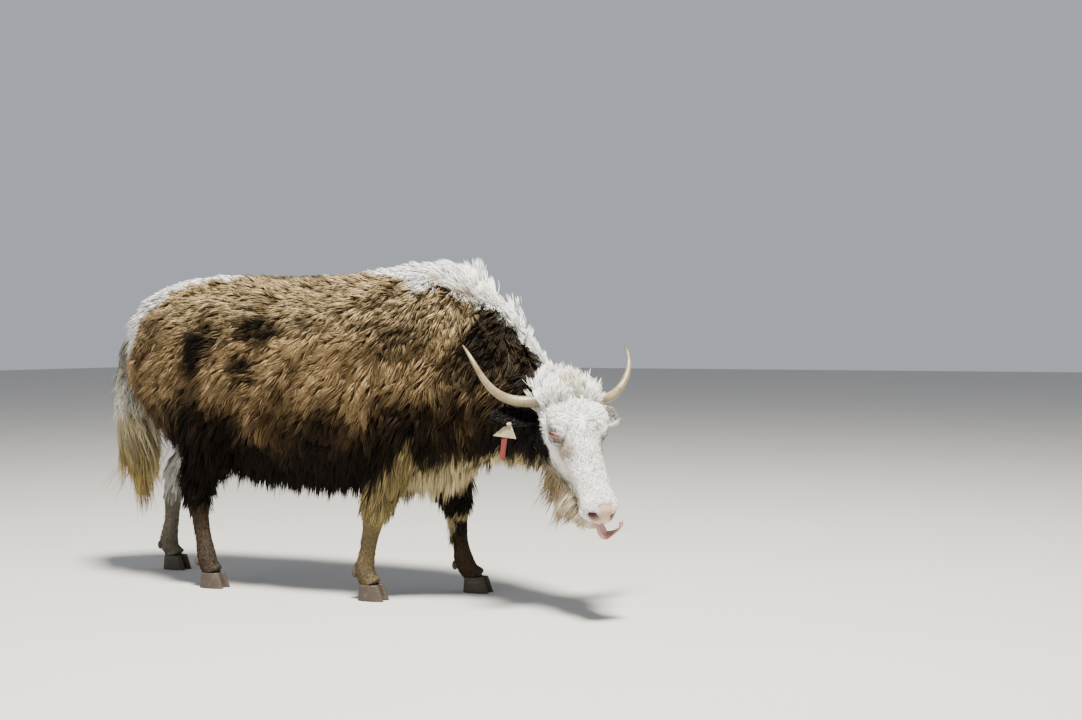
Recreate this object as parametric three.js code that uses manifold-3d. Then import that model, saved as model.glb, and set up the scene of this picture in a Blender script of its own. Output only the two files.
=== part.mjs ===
// A domestic yak, life size, as a still model: standing in mid-stride with its head
// low and turned to its right, tongue out, and a cloth tag in its right ear.
// Millimetres, +Z up, +X the way the trunk faces, +Y to the animal's left.
import * as THREE from 'three';
import { ConvexGeometry } from 'three/addons/geometries/ConvexGeometry.js';
import { mergeVertices } from 'three/addons/utils/BufferGeometryUtils.js';
import Module from 'manifold-3d';

const wasm = await Module();
wasm.setup();

// Driving dimensions
const GAP = 0.35;
const LOCK_ROOT = 20;
const TRUNK = { rear: -940, length: 1620, back: 1240, middle: 860, halfWidth: 275 };
const POLL = new THREE.Vector3(1050, -150, 826);
const HEAD_TURN = THREE.MathUtils.degToRad(37.5);
const HEAD_DROP = THREE.MathUtils.degToRad(56);
const LEG_SPREAD = 165;
const SEAM = { fore: 295, hind: 385 };
const HOOF_HEIGHT = 58;
const CLAW = { front: 62, back: 46, wide: 40, cleft: 7 };
const HORN = { base: 23, tip: 3 };
const EYE = { x: 172, y: 97, z: -38, radius: 19 };
const TAG = { drop: 48, halfWidth: 42, thick: 3 };
const RIBBON = { length: 80, halfWidth: 10, shift: -16, thick: 1.2 };

const LEFT = new THREE.Vector3(0, 1, 0);
const DOWN = new THREE.Vector3(0, 0, -1);
const SIDES = { left: 1, right: -1 };
const vec = (x, y, z) => new THREE.Vector3(x, y, z);
const mix = THREE.MathUtils.lerp;

// The same numbers come out on every run.
function dice(seed) {
  let state = seed;
  return (low, high) => {
    state = (state * 16807) % 2147483647;
    return mix(low, high, state / 2147483647);
  };
}

// Closed solids for joining and cutting
function solidFrom(positions, triangles) {
  const vertProperties = new Float32Array(positions.flatMap((p) => [p.x, p.y, p.z]));
  return new wasm.Manifold(
    new wasm.Mesh({ numProp: 3, vertProperties, triVerts: new Uint32Array(triangles) }),
  );
}

function solidFromGeometry(geometry, matrix = new THREE.Matrix4()) {
  const bare = new THREE.BufferGeometry().setAttribute('position', geometry.getAttribute('position').clone());
  if (geometry.index) bare.setIndex(geometry.index.clone());
  bare.applyMatrix4(matrix);
  const merged = mergeVertices(bare, 1e-3);
  return new wasm.Manifold(
    new wasm.Mesh({
      numProp: 3,
      vertProperties: merged.attributes.position.array,
      triVerts: new Uint32Array(merged.index.array),
    }),
  );
}

function join(solids) {
  return solids.length === 1 ? solids[0] : wasm.Manifold.union(solids);
}

function cut(solid, cutters) {
  return cutters.length ? solid.subtract(join(cutters)) : solid;
}

function largest(solid) {
  const bodies = solid.decompose();
  return bodies.reduce((best, body) => (body.volume() > best.volume() ? body : best));
}

// Rings of points joined into one closed skin, with a fan at each end.
function skinRings(rings, firstTip, lastTip) {
  const sides = rings[0].length;
  const points = [...rings.flat(), firstTip, lastTip];
  const tips = [points.length - 2, points.length - 1];
  const triangles = [];
  rings.forEach((ring, i) => {
    ring.forEach((point, j) => {
      const a = i * sides + j;
      const b = i * sides + ((j + 1) % sides);
      if (i === 0) triangles.push(tips[0], b, a);
      if (i === rings.length - 1) triangles.push(tips[1], a, b);
      else triangles.push(a, b, a + sides, b, b + sides, a + sides);
    });
  });
  return solidFrom(points, triangles);
}

// A body with oval sections along a curve. A row is [x, y, z, side, up, down]: the
// middle of the section and its half sizes across, towards the top and the bottom.
class Loft {
  constructor(rows, options = {}) {
    const { sides = 20, rings = 20, power = 2.2, blunt = [0.6, 0.6], place = null, across = LEFT } = options;
    const smooth = (pick) => new THREE.CatmullRomCurve3(rows.map(pick), false, 'catmullrom', 0.5);
    this.spine = smooth((r) => vec(r[0], r[1], r[2]));
    this.sizes = smooth((r) => vec(r[3], r[4], r[5]));
    this.place = place || new THREE.Matrix4();
    Object.assign(this, { sides, rings, power, blunt, across });
  }

  frame(t) {
    const centre = this.spine.getPoint(t);
    const along = this.spine.getPoint(Math.min(1, t + 0.01)).sub(this.spine.getPoint(Math.max(0, t - 0.01)));
    along.normalize();
    const side = this.across.clone().addScaledVector(along, -along.dot(this.across)).normalize();
    const up = along.clone().cross(side);
    return { centre, along, side, up, size: this.sizes.getPoint(t) };
  }

  // The point at a share t of the length and an angle, 90 degrees being the top.
  point(t, degrees, grow = 0, shrink = 1, ahead = 0) {
    const { centre, along, side, up, size } = this.frame(t);
    const a = THREE.MathUtils.degToRad(degrees);
    const bend = (v) => Math.sign(v) * Math.abs(v) ** (2 / this.power);
    const high = Math.sin(a) > 0 ? size.y : size.z;
    return centre
      .addScaledVector(side, (size.x * shrink + grow) * bend(Math.cos(a)))
      .addScaledVector(up, (high * shrink + grow) * bend(Math.sin(a)))
      .addScaledVector(along, ahead)
      .applyMatrix4(this.place);
  }

  // How far a point is outside the surface, and the way straight out.
  clearance(point) {
    const local = point.clone().applyMatrix4(this.place.clone().invert());
    let best = { gap: Infinity, t: 0 };
    for (let i = 0; i <= 24; i += 1) {
      const gap = this.spine.getPoint(i / 24).distanceTo(local);
      if (gap < best.gap) best = { gap, t: i / 24 };
    }
    const { centre, along, side, up, size } = this.frame(best.t);
    const off = local.clone().sub(centre);
    const tall = off.dot(up) > 0 ? size.y : size.z;
    const end = best.t === 0 ? -1 : 1;
    const beyond = best.t === 0 || best.t === 1 ? Math.max(0, end * off.dot(along)) : 0;
    const round = Math.max(12, this.blunt[best.t === 0 ? 0 : 1] * Math.min(size.x, size.y));
    const parts = [off.dot(side) / size.x, off.dot(up) / tall, (end * beyond) / round];
    const total = parts.reduce((sum, v) => sum + Math.abs(v) ** this.power, 0);
    const ratio = Math.max(0.05, total ** (1 / this.power));
    const reach = Math.hypot(off.dot(side), off.dot(up), beyond);
    const out = side.multiplyScalar(parts[0] / size.x)
      .addScaledVector(up, parts[1] / tall)
      .addScaledVector(along, parts[2] / round)
      .normalize();
    return { outside: reach - reach / ratio, out: out.transformDirection(this.place) };
  }

  solid(grow = 0) {
    const { sides, rings, blunt } = this;
    const round = [0, 1].map((t, i) => blunt[i] * Math.min(this.frame(t).size.x, this.frame(t).size.y) + grow);
    const stops = [];
    for (const tilt of blunt[0] > 0 ? [60, 30] : []) stops.push([0, tilt]);
    for (let i = 0; i <= rings; i += 1) stops.push([i / rings, 0]);
    for (const tilt of blunt[1] > 0 ? [30, 60] : []) stops.push([1, tilt]);
    const drawn = stops.map(([t, tilt]) => {
      const turn = THREE.MathUtils.degToRad(tilt);
      let ahead = 0;
      if (t === 0) ahead = tilt || !blunt[0] ? -(tilt ? round[0] * Math.sin(turn) : grow) : 0;
      if (t === 1) ahead = tilt || !blunt[1] ? (tilt ? round[1] * Math.sin(turn) : grow) : 0;
      return Array.from({ length: sides }, (_, j) =>
        this.point(t, (360 * j) / sides, grow, Math.cos(turn), ahead));
    });
    const tips = [0, 1].map((t) => {
      const { centre, along } = this.frame(t);
      return centre.addScaledVector(along, (t ? 1 : -1) * round[t]).applyMatrix4(this.place);
    });
    return skinRings(drawn, tips[0], tips[1]);
  }
}

// A convex body around the points, a little larger on every side
function hullAround(points, grow) {
  const steps = [vec(1, 0, 0), vec(0, 1, 0), vec(0, 0, 1)].flatMap((step) => [step, step.clone().negate()]);
  const cloud = points.flatMap((point) => steps.map((step) => point.clone().addScaledVector(step, grow * 2.2)));
  return solidFromGeometry(new ConvexGeometry(cloud));
}

// A lock of hair: flat, bent and tapered, with a ridge along its outer face. It starts
// inside the body, lies along the coat, rises slowly over all the bodies that it passes,
// and hangs more the nearer its tip.
function lock({ bodies, root, out, lie, length, width, thick, rise, stand = 0, droop = 0.1, hug = 0 }, grow = 0) {
  const steps = 3;
  const at = root.clone();
  const way = lie.clone().addScaledVector(out, -lie.dot(out)).normalize().lerp(out, stand).normalize();
  const shares = [0, 1, 0.6];
  const rings = [];
  let outer = out.clone();
  for (let i = 0; i <= steps; i += 1) {
    if (i > 0) {
      at.addScaledVector(way, length / steps);
      const height = 9 + (rise * i) / steps;
      let tight = Infinity;
      for (const body of bodies) {
        const { outside, out: push } = body.clearance(at);
        const short = height - outside;
        if (short > 0 || body === bodies[0]) at.addScaledVector(push, short * (short > 0 ? 1 : hug));
        if (outside < tight) {
          tight = outside;
          outer = push;
        }
      }
      way.lerp(DOWN, droop).normalize();
    }
    if (i === 0 || i === steps) continue;
    const across = outer.clone().cross(way).normalize();
    const wide = (width / 2) * shares[i];
    rings.push([
      at.clone().addScaledVector(across, wide),
      at.clone().addScaledVector(outer, thick),
      at.clone().addScaledVector(across, -wide),
    ]);
  }
  const sunk = root.clone().addScaledVector(out, -LOCK_ROOT);
  return grow ? hullAround([...rings.flat(), sunk, at], grow) : skinRings(rings, sunk, at);
}

const ballAt = (centre, radii, place = new THREE.Matrix4(), sides = 14) =>
  solidFromGeometry(
    new THREE.SphereGeometry(1, sides, Math.ceil(sides * 0.6)),
    place.clone().multiply(new THREE.Matrix4().compose(centre, new THREE.Quaternion(), radii)),
  );

const boxBetween = (low, high, place = new THREE.Matrix4()) => {
  const size = high.clone().sub(low);
  const middle = low.clone().add(high).multiplyScalar(0.5);
  return solidFromGeometry(
    new THREE.BoxGeometry(size.x, size.y, size.z),
    place.clone().multiply(new THREE.Matrix4().makeTranslation(middle.x, middle.y, middle.z)),
  );
};

// Everything between two heights
const slab = (low, high) => boxBetween(vec(-3000, -1500, low), vec(3000, 1500, high));

const materials = {
  brown: new THREE.MeshStandardMaterial({ color: 0x5a4029, roughness: 0.95 }),
  white: new THREE.MeshStandardMaterial({ color: 0xe6e2d8, roughness: 0.95 }),
  cream: new THREE.MeshStandardMaterial({ color: 0xb8a888, roughness: 0.95 }),
  dark: new THREE.MeshStandardMaterial({ color: 0x1e1611, roughness: 0.95 }),
  nose: new THREE.MeshStandardMaterial({ color: 0xc29a86, roughness: 0.6 }),
  tongue: new THREE.MeshStandardMaterial({ color: 0xb98f92, roughness: 0.4 }),
  eye: new THREE.MeshStandardMaterial({ color: 0x24130e, roughness: 0.1 }),
  horn: new THREE.MeshStandardMaterial({ color: 0xb3a684, roughness: 0.5 }),
  hoof: new THREE.MeshStandardMaterial({ color: 0x4a443c, roughness: 0.7 }),
  felt: new THREE.MeshStandardMaterial({ color: 0xc2b184, roughness: 0.9 }),
  ribbon: new THREE.MeshStandardMaterial({ color: 0x8c1a14, roughness: 0.8 }),
};

// Trunk: rows are along, top and bottom height, and half width, as shares of the
// trunk's length, the back's height and the barrel's half width.
const trunkRows = [
  [0.02, 0.925, 0.63, 0.46],
  [0.06, 0.955, 0.56, 0.66],
  [0.14, 0.985, 0.49, 0.82],
  [0.24, 1.0, 0.45, 0.9],
  [0.38, 0.994, 0.41, 0.96],
  [0.54, 0.992, 0.395, 1.0],
  [0.7, 1.002, 0.39, 0.97],
  [0.82, 1.023, 0.395, 0.88],
  [0.91, 1.0, 0.42, 0.76],
  [0.97, 0.935, 0.48, 0.6],
].map(([along, top, bottom, width]) => {
  const low = bottom * TRUNK.back;
  const high = top * TRUNK.back;
  return [
    TRUNK.rear + along * TRUNK.length,
    0,
    TRUNK.middle,
    width * TRUNK.halfWidth,
    high - TRUNK.middle,
    TRUNK.middle - low,
  ];
});
const trunk = new Loft(trunkRows, { sides: 18, rings: 11, power: 2.3, blunt: [0.4, 0.4] });
const neck = new Loft(
  [
    [430, 0, 880, 190, 300, 320],
    [600, -10, 850, 168, 285, 290],
    [740, -36, 795, 138, 185, 228],
    [870, -78, 738, 114, 122, 165],
    [975, -118, 698, 98, 92, 135],
  ],
  { sides: 14, rings: 7, power: 2.1 },
);

const tail = new Loft(
  [
    [-900, 0, 1060, 42, 42, 42],
    [-985, 0, 1010, 40, 38, 40],
    [-1035, 0, 900, 42, 40, 40],
    [-1052, 0, 740, 44, 46, 42],
    [-1035, 0, 600, 40, 44, 40],
    [-1015, 0, 520, 22, 26, 24],
  ],
  { sides: 8, rings: 8, power: 2, blunt: [0.5, 1] },
);

// Head: its own frame has +X down the face, +Y to its left and +Z out of the brow.
const head = new THREE.Group();
head.position.copy(POLL);
head.rotation.set(0, HEAD_DROP, -HEAD_TURN, 'ZYX');
head.updateMatrix();
const inHead = head.matrix;

const skull = new Loft(
  [
    [-30, 0, -95, 85, 70, 75],
    [30, 0, -95, 110, 95, 105],
    [100, 0, -95, 116, 102, 115],
    [180, 0, -95, 106, 97, 122],
    [250, 0, -85, 84, 78, 92],
    [330, 0, -68, 66, 55, 52],
    [400, 0, -62, 62, 46, 40],
    [450, 0, -60, 70, 44, 38],
    [492, 0, -62, 66, 38, 34],
  ],
  { sides: 16, rings: 12, power: 2.3, blunt: [0.7, 0.7], place: inHead },
);
const jaw = new Loft(
  [
    [150, 0, -185, 62, 50, 50],
    [230, 0, -175, 58, 50, 42],
    [320, 0, -142, 48, 36, 28],
    [400, 0, -128, 42, 26, 22],
    [455, 0, -127, 46, 17, 19],
    [484, 0, -130, 40, 11, 15],
  ],
  { sides: 10, rings: 8, power: 2.2, blunt: [0.7, 0.6], place: inHead },
);

// Face
const muzzleBox = (grow) => boxBetween(vec(452 + grow, -120, -98 - grow), vec(560, 120, 20), inHead);
const nostril = (side) =>
  new Loft(
    [
      [470, side * 30, -50, 9, 10, 10],
      [500, side * 38, -52, 13, 12, 15],
      [530, side * 44, -54, 15, 13, 18],
      [560, side * 48, -56, 15, 13, 18],
    ],
    { sides: 8, rings: 4, place: inHead, blunt: [0.5, 0] },
  ).solid();
const eyeBall = (side, grow) =>
  ballAt(vec(EYE.x, side * EYE.y, EYE.z), vec(1, 1, 1).multiplyScalar(EYE.radius + grow), inHead, 10);
const lids = (side) => ballAt(vec(EYE.x, side * (EYE.y - 3), EYE.z), vec(36, 25, 24), inHead, 12);
const brow = (side) => ballAt(vec(EYE.x - 16, side * (EYE.y - 26), EYE.z + 12), vec(56, 34, 28), inHead, 10);
const lidSlit = (side) => ballAt(vec(EYE.x, side * (EYE.y + 18), EYE.z - 2), vec(22, 16, 7), inHead, 10);

const tongue = new Loft(
  [
    [455, 4, -104, 22, 6, 6],
    [492, 8, -108, 23, 6, 6],
    [517, 22, -130, 22, 6, 6],
    [524, 48, -150, 19, 6, 6],
    [524, 74, -136, 17, 5.5, 5.5],
    [522, 84, -104, 14, 5, 5],
    [514, 74, -74, 9, 4, 4],
  ],
  { sides: 6, rings: 11, power: 2.2, blunt: [0.5, 1], across: vec(0.6, -0.8, 0), place: inHead },
);

const earRows = (side, lift, share) =>
  [
    [56, 92, -105, 26, 20],
    [54, 130, -110, 38, 20],
    [52, 180, -116, 44, 16],
    [50, 235, -121, 38, 12],
    [50, 280, -124, 17, 7],
  ].map(([x, y, z, wide, thick]) => [x, side * y, z + lift, wide * share, thick * share, thick * share]);
const earLoft = (side) =>
  new Loft(earRows(side, 0, 1), {
    sides: 8, rings: 5, place: inHead, blunt: [0.4, 0.8], across: vec(-side, 0, 0),
  });
const earCup = (side) =>
  new Loft(earRows(side, 14, 0.74).slice(1), {
    sides: 8, rings: 5, place: inHead, blunt: [0.6, 0.8], across: vec(-side, 0, 0),
  });

const hornLoft = (side) => {
  const curve = new THREE.CubicBezierCurve3(
    vec(35, side * 75, -30),
    vec(3, side * 267, -171),
    vec(-65, side * 324, -11),
    vec(-224, side * 340, -73),
  );
  const rows = Array.from({ length: 11 }, (_, i) => {
    const p = curve.getPointAt(i / 10);
    const r = mix(HORN.base, HORN.tip, (i / 10) ** 1.4);
    return [p.x, p.y, p.z, r, r, r];
  });
  return new Loft(rows, { sides: 8, rings: 12, power: 2, blunt: [0.5, 1], place: inHead, across: vec(1, 0, 0) });
};

// Legs: one body from inside the trunk down to the hoof, parted at the knee or hock.
// A row is [x, z, half width, front, back].
const legs = {
  fore_right: {
    side: -1, seam: SEAM.fore, x: 238, fetlock: [208, 120],
    rows: [
      [400, 780, 62, 105, 115],
      [372, 640, 62, 88, 92],
      [322, 500, 54, 64, 70],
      [272, 395, 43, 46, 50],
      [250, 325, 41, 42, 43],
      [237, 265, 32, 32, 33],
      [222, 190, 27, 28, 29],
      [208, 120, 35, 34, 38],
      [222, 82, 32, 32, 36],
      [240, 30, 40, 44, 42],
    ],
  },
  fore_left: {
    side: 1, seam: SEAM.fore, x: 518, fetlock: [466, 120],
    rows: [
      [410, 780, 62, 105, 115],
      [405, 640, 62, 88, 92],
      [408, 500, 54, 64, 70],
      [424, 395, 43, 46, 50],
      [434, 325, 41, 42, 43],
      [441, 265, 32, 32, 33],
      [449, 190, 27, 28, 29],
      [466, 120, 35, 34, 38],
      [492, 82, 32, 32, 36],
      [520, 30, 40, 44, 42],
    ],
  },
  hind_right: {
    side: -1, seam: SEAM.hind, x: -492, fetlock: [-522, 120],
    rows: [
      [-600, 860, 66, 140, 150],
      [-530, 700, 66, 125, 140],
      [-500, 570, 58, 78, 98],
      [-545, 465, 44, 48, 62],
      [-572, 405, 38, 42, 48],
      [-562, 320, 30, 32, 35],
      [-541, 210, 27, 29, 30],
      [-522, 120, 35, 34, 38],
      [-508, 82, 32, 32, 36],
      [-490, 30, 40, 44, 42],
    ],
  },
  hind_left: {
    side: 1, seam: SEAM.hind, x: -930, fetlock: [-965, 120],
    rows: [
      [-700, 860, 66, 140, 150],
      [-655, 700, 66, 125, 140],
      [-745, 570, 58, 78, 98],
      [-860, 475, 44, 48, 62],
      [-920, 410, 38, 42, 48],
      [-938, 320, 30, 32, 35],
      [-952, 210, 27, 29, 30],
      [-965, 120, 35, 34, 38],
      [-950, 82, 32, 32, 36],
      [-930, 30, 40, 44, 42],
    ],
  },
};
for (const leg of Object.values(legs)) {
  leg.y = leg.side * LEG_SPREAD;
  leg.rows = leg.rows.map(([x, z, wide, front, back]) => [x, leg.y, z, wide, front, back]);
  leg.loft = new Loft(leg.rows, { sides: 9, rings: 13, power: 2.1, blunt: [0.3, 0] });
}

// Hooves: two claws to a foot, flat underneath, and two small dewclaws behind the fetlock.
function claw(x, y, way) {
  const ring = (z, front, back, wide) =>
    Array.from({ length: 10 }, (_, i) => {
      const a = (i * Math.PI) / 5;
      const bend = (v) => Math.sign(v) * Math.abs(v) ** 0.7;
      const long = Math.cos(a) > 0 ? front : back;
      return vec(
        x + long * bend(Math.cos(a)),
        y + way * (CLAW.cleft / 2 + CLAW.wide / 2) + (wide / 2) * bend(Math.sin(a)),
        z,
      );
    });
  const rings = [
    ring(0, CLAW.front, CLAW.back, CLAW.wide),
    ring(HOOF_HEIGHT, CLAW.front * 0.62, CLAW.back * 0.9, CLAW.wide * 0.9),
  ];
  const middle = y + way * (CLAW.cleft / 2 + CLAW.wide / 2);
  return skinRings(rings, vec(x, middle, 0), vec(x, middle, HOOF_HEIGHT));
}

// Nodes
const yak = new THREE.Group();
yak.add(head);

function node(name, solid, material, group = yak) {
  const body = largest(largest(solid).simplify(0.05));
  const mesh = body.getMesh();
  const geometry = new THREE.BufferGeometry();
  const stride = mesh.numProp;
  const positions = new Float32Array((mesh.vertProperties.length / stride) * 3);
  for (let i = 0; i < positions.length / 3; i += 1) {
    for (let k = 0; k < 3; k += 1) positions[i * 3 + k] = mesh.vertProperties[i * stride + k];
  }
  geometry.setAttribute('position', new THREE.BufferAttribute(positions, 3));
  geometry.setIndex(new THREE.BufferAttribute(new Uint32Array(mesh.triVerts), 1));
  if (group === head) geometry.applyMatrix4(inHead.clone().invert());
  geometry.computeVertexNormals();
  const made = new THREE.Mesh(geometry, materials[material]);
  made.name = name;
  group.add(made);
  return body;
}

// Coat. Each family of locks is set in rows on one body, each row under the tips of the
// row before it.
const roll = dice(86);
const locks = [];

// Rows of locks on both sides of a body. A row is [degrees from the top, how many,
// settings], spread over a stretch of the body's length.
function setRows(owner, body, { passing = [], sides = [1, -1], from = 0, to = 1, rows, lie }) {
  rows.forEach(([drop, count, settings], row) => {
    for (const side of drop === 0 || drop === 180 ? [1] : sides) {
      for (let i = 0; i < count; i += 1) {
        const share = (i + 0.5 + (row % 2 ? 0.22 : -0.22) + roll(-0.1, 0.1)) / count;
        const degrees = 90 - side * (drop + roll(-2.5, 2.5));
        const root = body.point(mix(from, to, THREE.MathUtils.clamp(share, 0.02, 0.98)), degrees);
        locks.push({
          owner,
          bodies: [body, ...passing],
          ...settings,
          root,
          out: body.clearance(root).out,
          lie: lie(root, side, drop).add(vec(roll(-0.14, 0.14), 0, roll(-0.14, 0.14))),
          length: settings.length * roll(0.88, 1.14),
          width: settings.width * roll(0.9, 1.1),
          rise: settings.rise * (i % 2 ? 1.25 : 0.85),
        });
      }
    }
  });
}

const legBodies = Object.values(legs).map((leg) => leg.loft);
const lean = (back, down) => vec(-back, 0, -down);

// Trunk: back, flanks and shoulders
const flank = { length: 330, width: 165, thick: 13, rise: 40, droop: 0.06, hug: 0.8 };
setRows('torso', trunk, {
  passing: legBodies,
  from: 0.05,
  to: 0.97,
  rows: [
    [0, 9, { ...flank, length: 260, width: 150, rise: 8, droop: 0, hug: 1 }],
    [20, 8, { ...flank, length: 290, rise: 22 }],
    [43, 8, flank],
    [66, 8, flank],
    [89, 8, flank],
    [112, 8, flank],
    [135, 8, { ...flank, length: 250, droop: 0.3, hug: 0.2 }],
  ],
  lie: (root, side, drop) => {
    const rump = THREE.MathUtils.clamp((-600 - root.x) / 300, 0, 1);
    const shoulder = THREE.MathUtils.clamp((root.x - 50) / 400, 0, 1);
    return lean(0.8 - 0.5 * rump - 0.45 * shoulder, 0.4 + drop / 180 + 0.5 * rump + 0.3 * shoulder);
  },
});
// Belly fringe
setRows('torso', trunk, {
  passing: legBodies,
  from: 0.26,
  to: 0.95,
  rows: [[156, 8, { length: 160, width: 130, thick: 10, rise: 14, droop: 0.7 }]],
  lie: (root, side) => vec(-0.25, side * 0.3, -1),
});
// White mane standing along the front of the hump and the top of the neck
const mane = { length: 125, width: 85, thick: 10, rise: 16, stand: 0.62, droop: 0 };
const maneRows = (count) => [[0, count, mane], [21, count, { ...mane, stand: 0.5 }]];
const maneLie = () => vec(-0.3, 0, 1);
const low = { ...mane, length: 130, rise: 30, stand: 0.25 };
setRows('torso', trunk, { from: 0.79, to: 0.91, rows: [[0, 3, low], [20, 2, low]], lie: () => lean(1, 0) });
setRows('neck', trunk, { from: 0.93, to: 0.99, rows: maneRows(2), lie: () => vec(0.1, 0, 1) });
setRows('neck', neck, { from: 0.44, to: 0.86, rows: maneRows(3), lie: maneLie });

// Neck: long hair down both sides and under the brisket
const side = { length: 190, width: 120, thick: 10, rise: 32, droop: 0.15, hug: 0.5 };
setRows('neck', neck, {
  from: 0.42,
  to: 0.95,
  rows: [[62, 4, side], [100, 4, side], [142, 4, { ...side, length: 160, droop: 0.4, hug: 0 }]],
  lie: () => vec(-0.5, 0, -0.8),
});

// Tail: long hair from its root to the tips
const switchHair = { length: 290, width: 85, thick: 12, rise: 16, droop: 0.2, hug: 0.5 };
setRows('tail', tail, {
  from: 0.1,
  to: 0.95,
  rows: [
    [0, 3, switchHair],
    [75, 3, switchHair],
    [150, 2, switchHair],
  ],
  lie: (root) => vec(root.z > 900 ? -0.5 : 0.1, 0, -1),
});

// Head: a crown of short upright locks on the poll, and a beard under the jaw
const crown = { length: 74, width: 52, thick: 8, rise: 30, stand: 0.45, droop: 0 };
setRows('head', skull, {
  from: 0,
  to: 0.2,
  rows: [[0, 2, crown], [24, 2, crown], [48, 1, crown]],
  lie: () => vec(-0.2, 0.1, 1),
});
setRows('lower_jaw', jaw, {
  from: 0.05,
  to: 0.7,
  rows: [
    [115, 3, { length: 115, width: 62, thick: 8, rise: 8, droop: 0.4 }],
    [165, 2, { length: 115, width: 70, thick: 8, rise: 8, droop: 0.4 }],
  ],
  lie: () => vec(-0.6, 0.2, -1),
});

// Legs: long hair over the thighs and behind the elbows
const thigh = { length: 220, width: 120, thick: 11, rise: 20, droop: 0.3 };
for (const [name, leg] of Object.entries(legs)) {
  const hind = name.startsWith('hind');
  setRows(`${name}_upper`, leg.loft, {
    from: hind ? 0.12 : 0.08,
    to: hind ? 0.38 : 0.34,
    rows: [[60, 1, thigh], [110, 1, thigh], [155, 2, { ...thigh, rise: 32 }]],
    lie: () => vec(-0.35, 0, -1),
  });
}
// Feathering behind the far knee
setRows('fore_left_lower', legs.fore_left.loft, {
  from: 0.44,
  to: 0.56,
  rows: [[150, 2, { length: 125, width: 60, thick: 8, rise: 14, droop: 0.3 }]],
  lie: () => vec(-0.4, 0, -1),
});

const lockSolids = (owner, grow) => locks.filter((each) => each.owner === owner).map((each) => lock(each, grow));

// The trunk and neck are one form, parted by a sloping cut in front of the shoulder.
const partingPlace = new THREE.Matrix4().makeRotationY(THREE.MathUtils.degToRad(-14)).setPosition(655, 0, 800);
const aheadOf = (grow) => boxBetween(vec(GAP / 2 - grow, -900, -1200), vec(1500, 900, 1200), partingPlace);
const bodyOf = (grow) => join([trunk.solid(grow), neck.solid(grow)]);
const torsoOf = (grow) => cut(bodyOf(grow), [aheadOf(GAP - grow)]);
const torsoCutter = torsoOf(GAP);
const skullCutter = skull.solid(GAP);
const jawCutter = jaw.solid(GAP);
const neckCutter = neck.solid(GAP);
const pair = Object.values(SIDES);
const hornCutters = pair.map((each) => hornLoft(each).solid(GAP));
const earCutters = pair.map((each) => earLoft(each).solid(GAP));
const legCutters = Object.fromEntries(Object.entries(legs).map(([name, leg]) => [name, leg.loft.solid(GAP)]));

// Every core with a gap around it, by the nodes that it belongs to
const cores = [
  ['torso', torsoCutter],
  ['neck', bodyOf(GAP).intersect(aheadOf(GAP))],
  ['tail', tail.solid(GAP)],
  ['head', skullCutter],
  ['lower_jaw', jawCutter],
  ['horn', join(hornCutters)],
  ['ear', join(earCutters)],
  ...Object.entries(legCutters),
];
const earlierLocks = [];

// Adds the node's locks to its core. They stay clear of every other core, and of the
// locks of the nodes before.
function coated(name, core, material, group) {
  const own = lockSolids(name, 0);
  if (own.length === 0) return node(name, core, material, group);
  const others = cores.filter(([owner]) => !name.startsWith(owner)).map(([, solid]) => solid);
  if (name.endsWith('_lower')) others.push(slab(SEAM.fore, 2000));
  if (name.endsWith('_upper')) others.push(cores.find(([owner]) => name.startsWith(owner))[1].intersect(slab(-10, 300)));
  const clear = cut(join(own), [...others, ...earlierLocks]);
  earlierLocks.push(...lockSolids(name, GAP));
  return node(name, join([core, clear]), material, group);
}

coated('torso', torsoOf(0), 'brown');
coated('neck', cut(bodyOf(0).intersect(aheadOf(0)), [skullCutter, jawCutter]), 'brown');
coated('tail', cut(tail.solid(), [torsoCutter]), 'white');

const brows = pair.map(brow);
const sockets = pair.map((each) => eyeBall(each, GAP));
const faceCore = join([skull.solid(), ...brows, ...pair.map(lids)]);
coated('head', cut(faceCore, [...sockets, ...pair.map(lidSlit), muzzleBox(0)]), 'white', head);
node('muzzle', cut(skull.solid().intersect(muzzleBox(GAP)), pair.map(nostril)), 'nose', head);
coated('lower_jaw', cut(jaw.solid(), [skullCutter]), 'white', head);
node('tongue', cut(tongue.solid(), [skullCutter, jawCutter]), 'tongue', head);

for (const [name, way] of Object.entries(SIDES)) {
  const horn = hornLoft(way);
  node(`eye_${name}`, eyeBall(way, 0), 'eye', head);
  node(`horn_${name}`, cut(horn.solid(), [skullCutter, neckCutter, brow(way), ...earlierLocks]), 'horn', head);
  const shell = cut(earLoft(way).solid(), [skullCutter, neckCutter, horn.solid(GAP), earCup(way).solid(), ...earlierLocks]);
  node(`ear_${name}`, shell, 'dark', head);
}

// Ear tag: a triangle of cream cloth knotted under the right ear, with a red ribbon.
const tagTop = vec(86, -222, -120).applyMatrix4(inHead);
const tagTurn = new THREE.Matrix4().makeRotationZ(THREE.MathUtils.degToRad(24)).setPosition(tagTop);
const plate = (outline, thick, place) => {
  const shape = new THREE.Shape(outline.map(([x, z]) => new THREE.Vector2(x, z)));
  const flat = new THREE.ExtrudeGeometry(shape, { depth: thick, bevelEnabled: false, curveSegments: 6 });
  flat.rotateX(Math.PI / 2);
  flat.translate(0, thick / 2, 0);
  return solidFromGeometry(flat, place);
};
const tagOutline = [
  [-5, 6],
  [5, 6],
  [9, -6],
  [TAG.halfWidth * 0.62, -TAG.drop * 1.05],
  [0, -TAG.drop * 0.9],
  [-TAG.halfWidth * 1.35, -TAG.drop * 0.78],
  [-9, -6],
];
const tagSolid = join([
  plate(tagOutline, TAG.thick, tagTurn),
  ballAt(vec(0, 0, -2), vec(9, 8, 8), tagTurn, 8),
]);
node('ear_tag', cut(tagSolid, [earLoft(-1).solid(GAP), neckCutter, skullCutter, ...earlierLocks]), 'felt');
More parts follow.
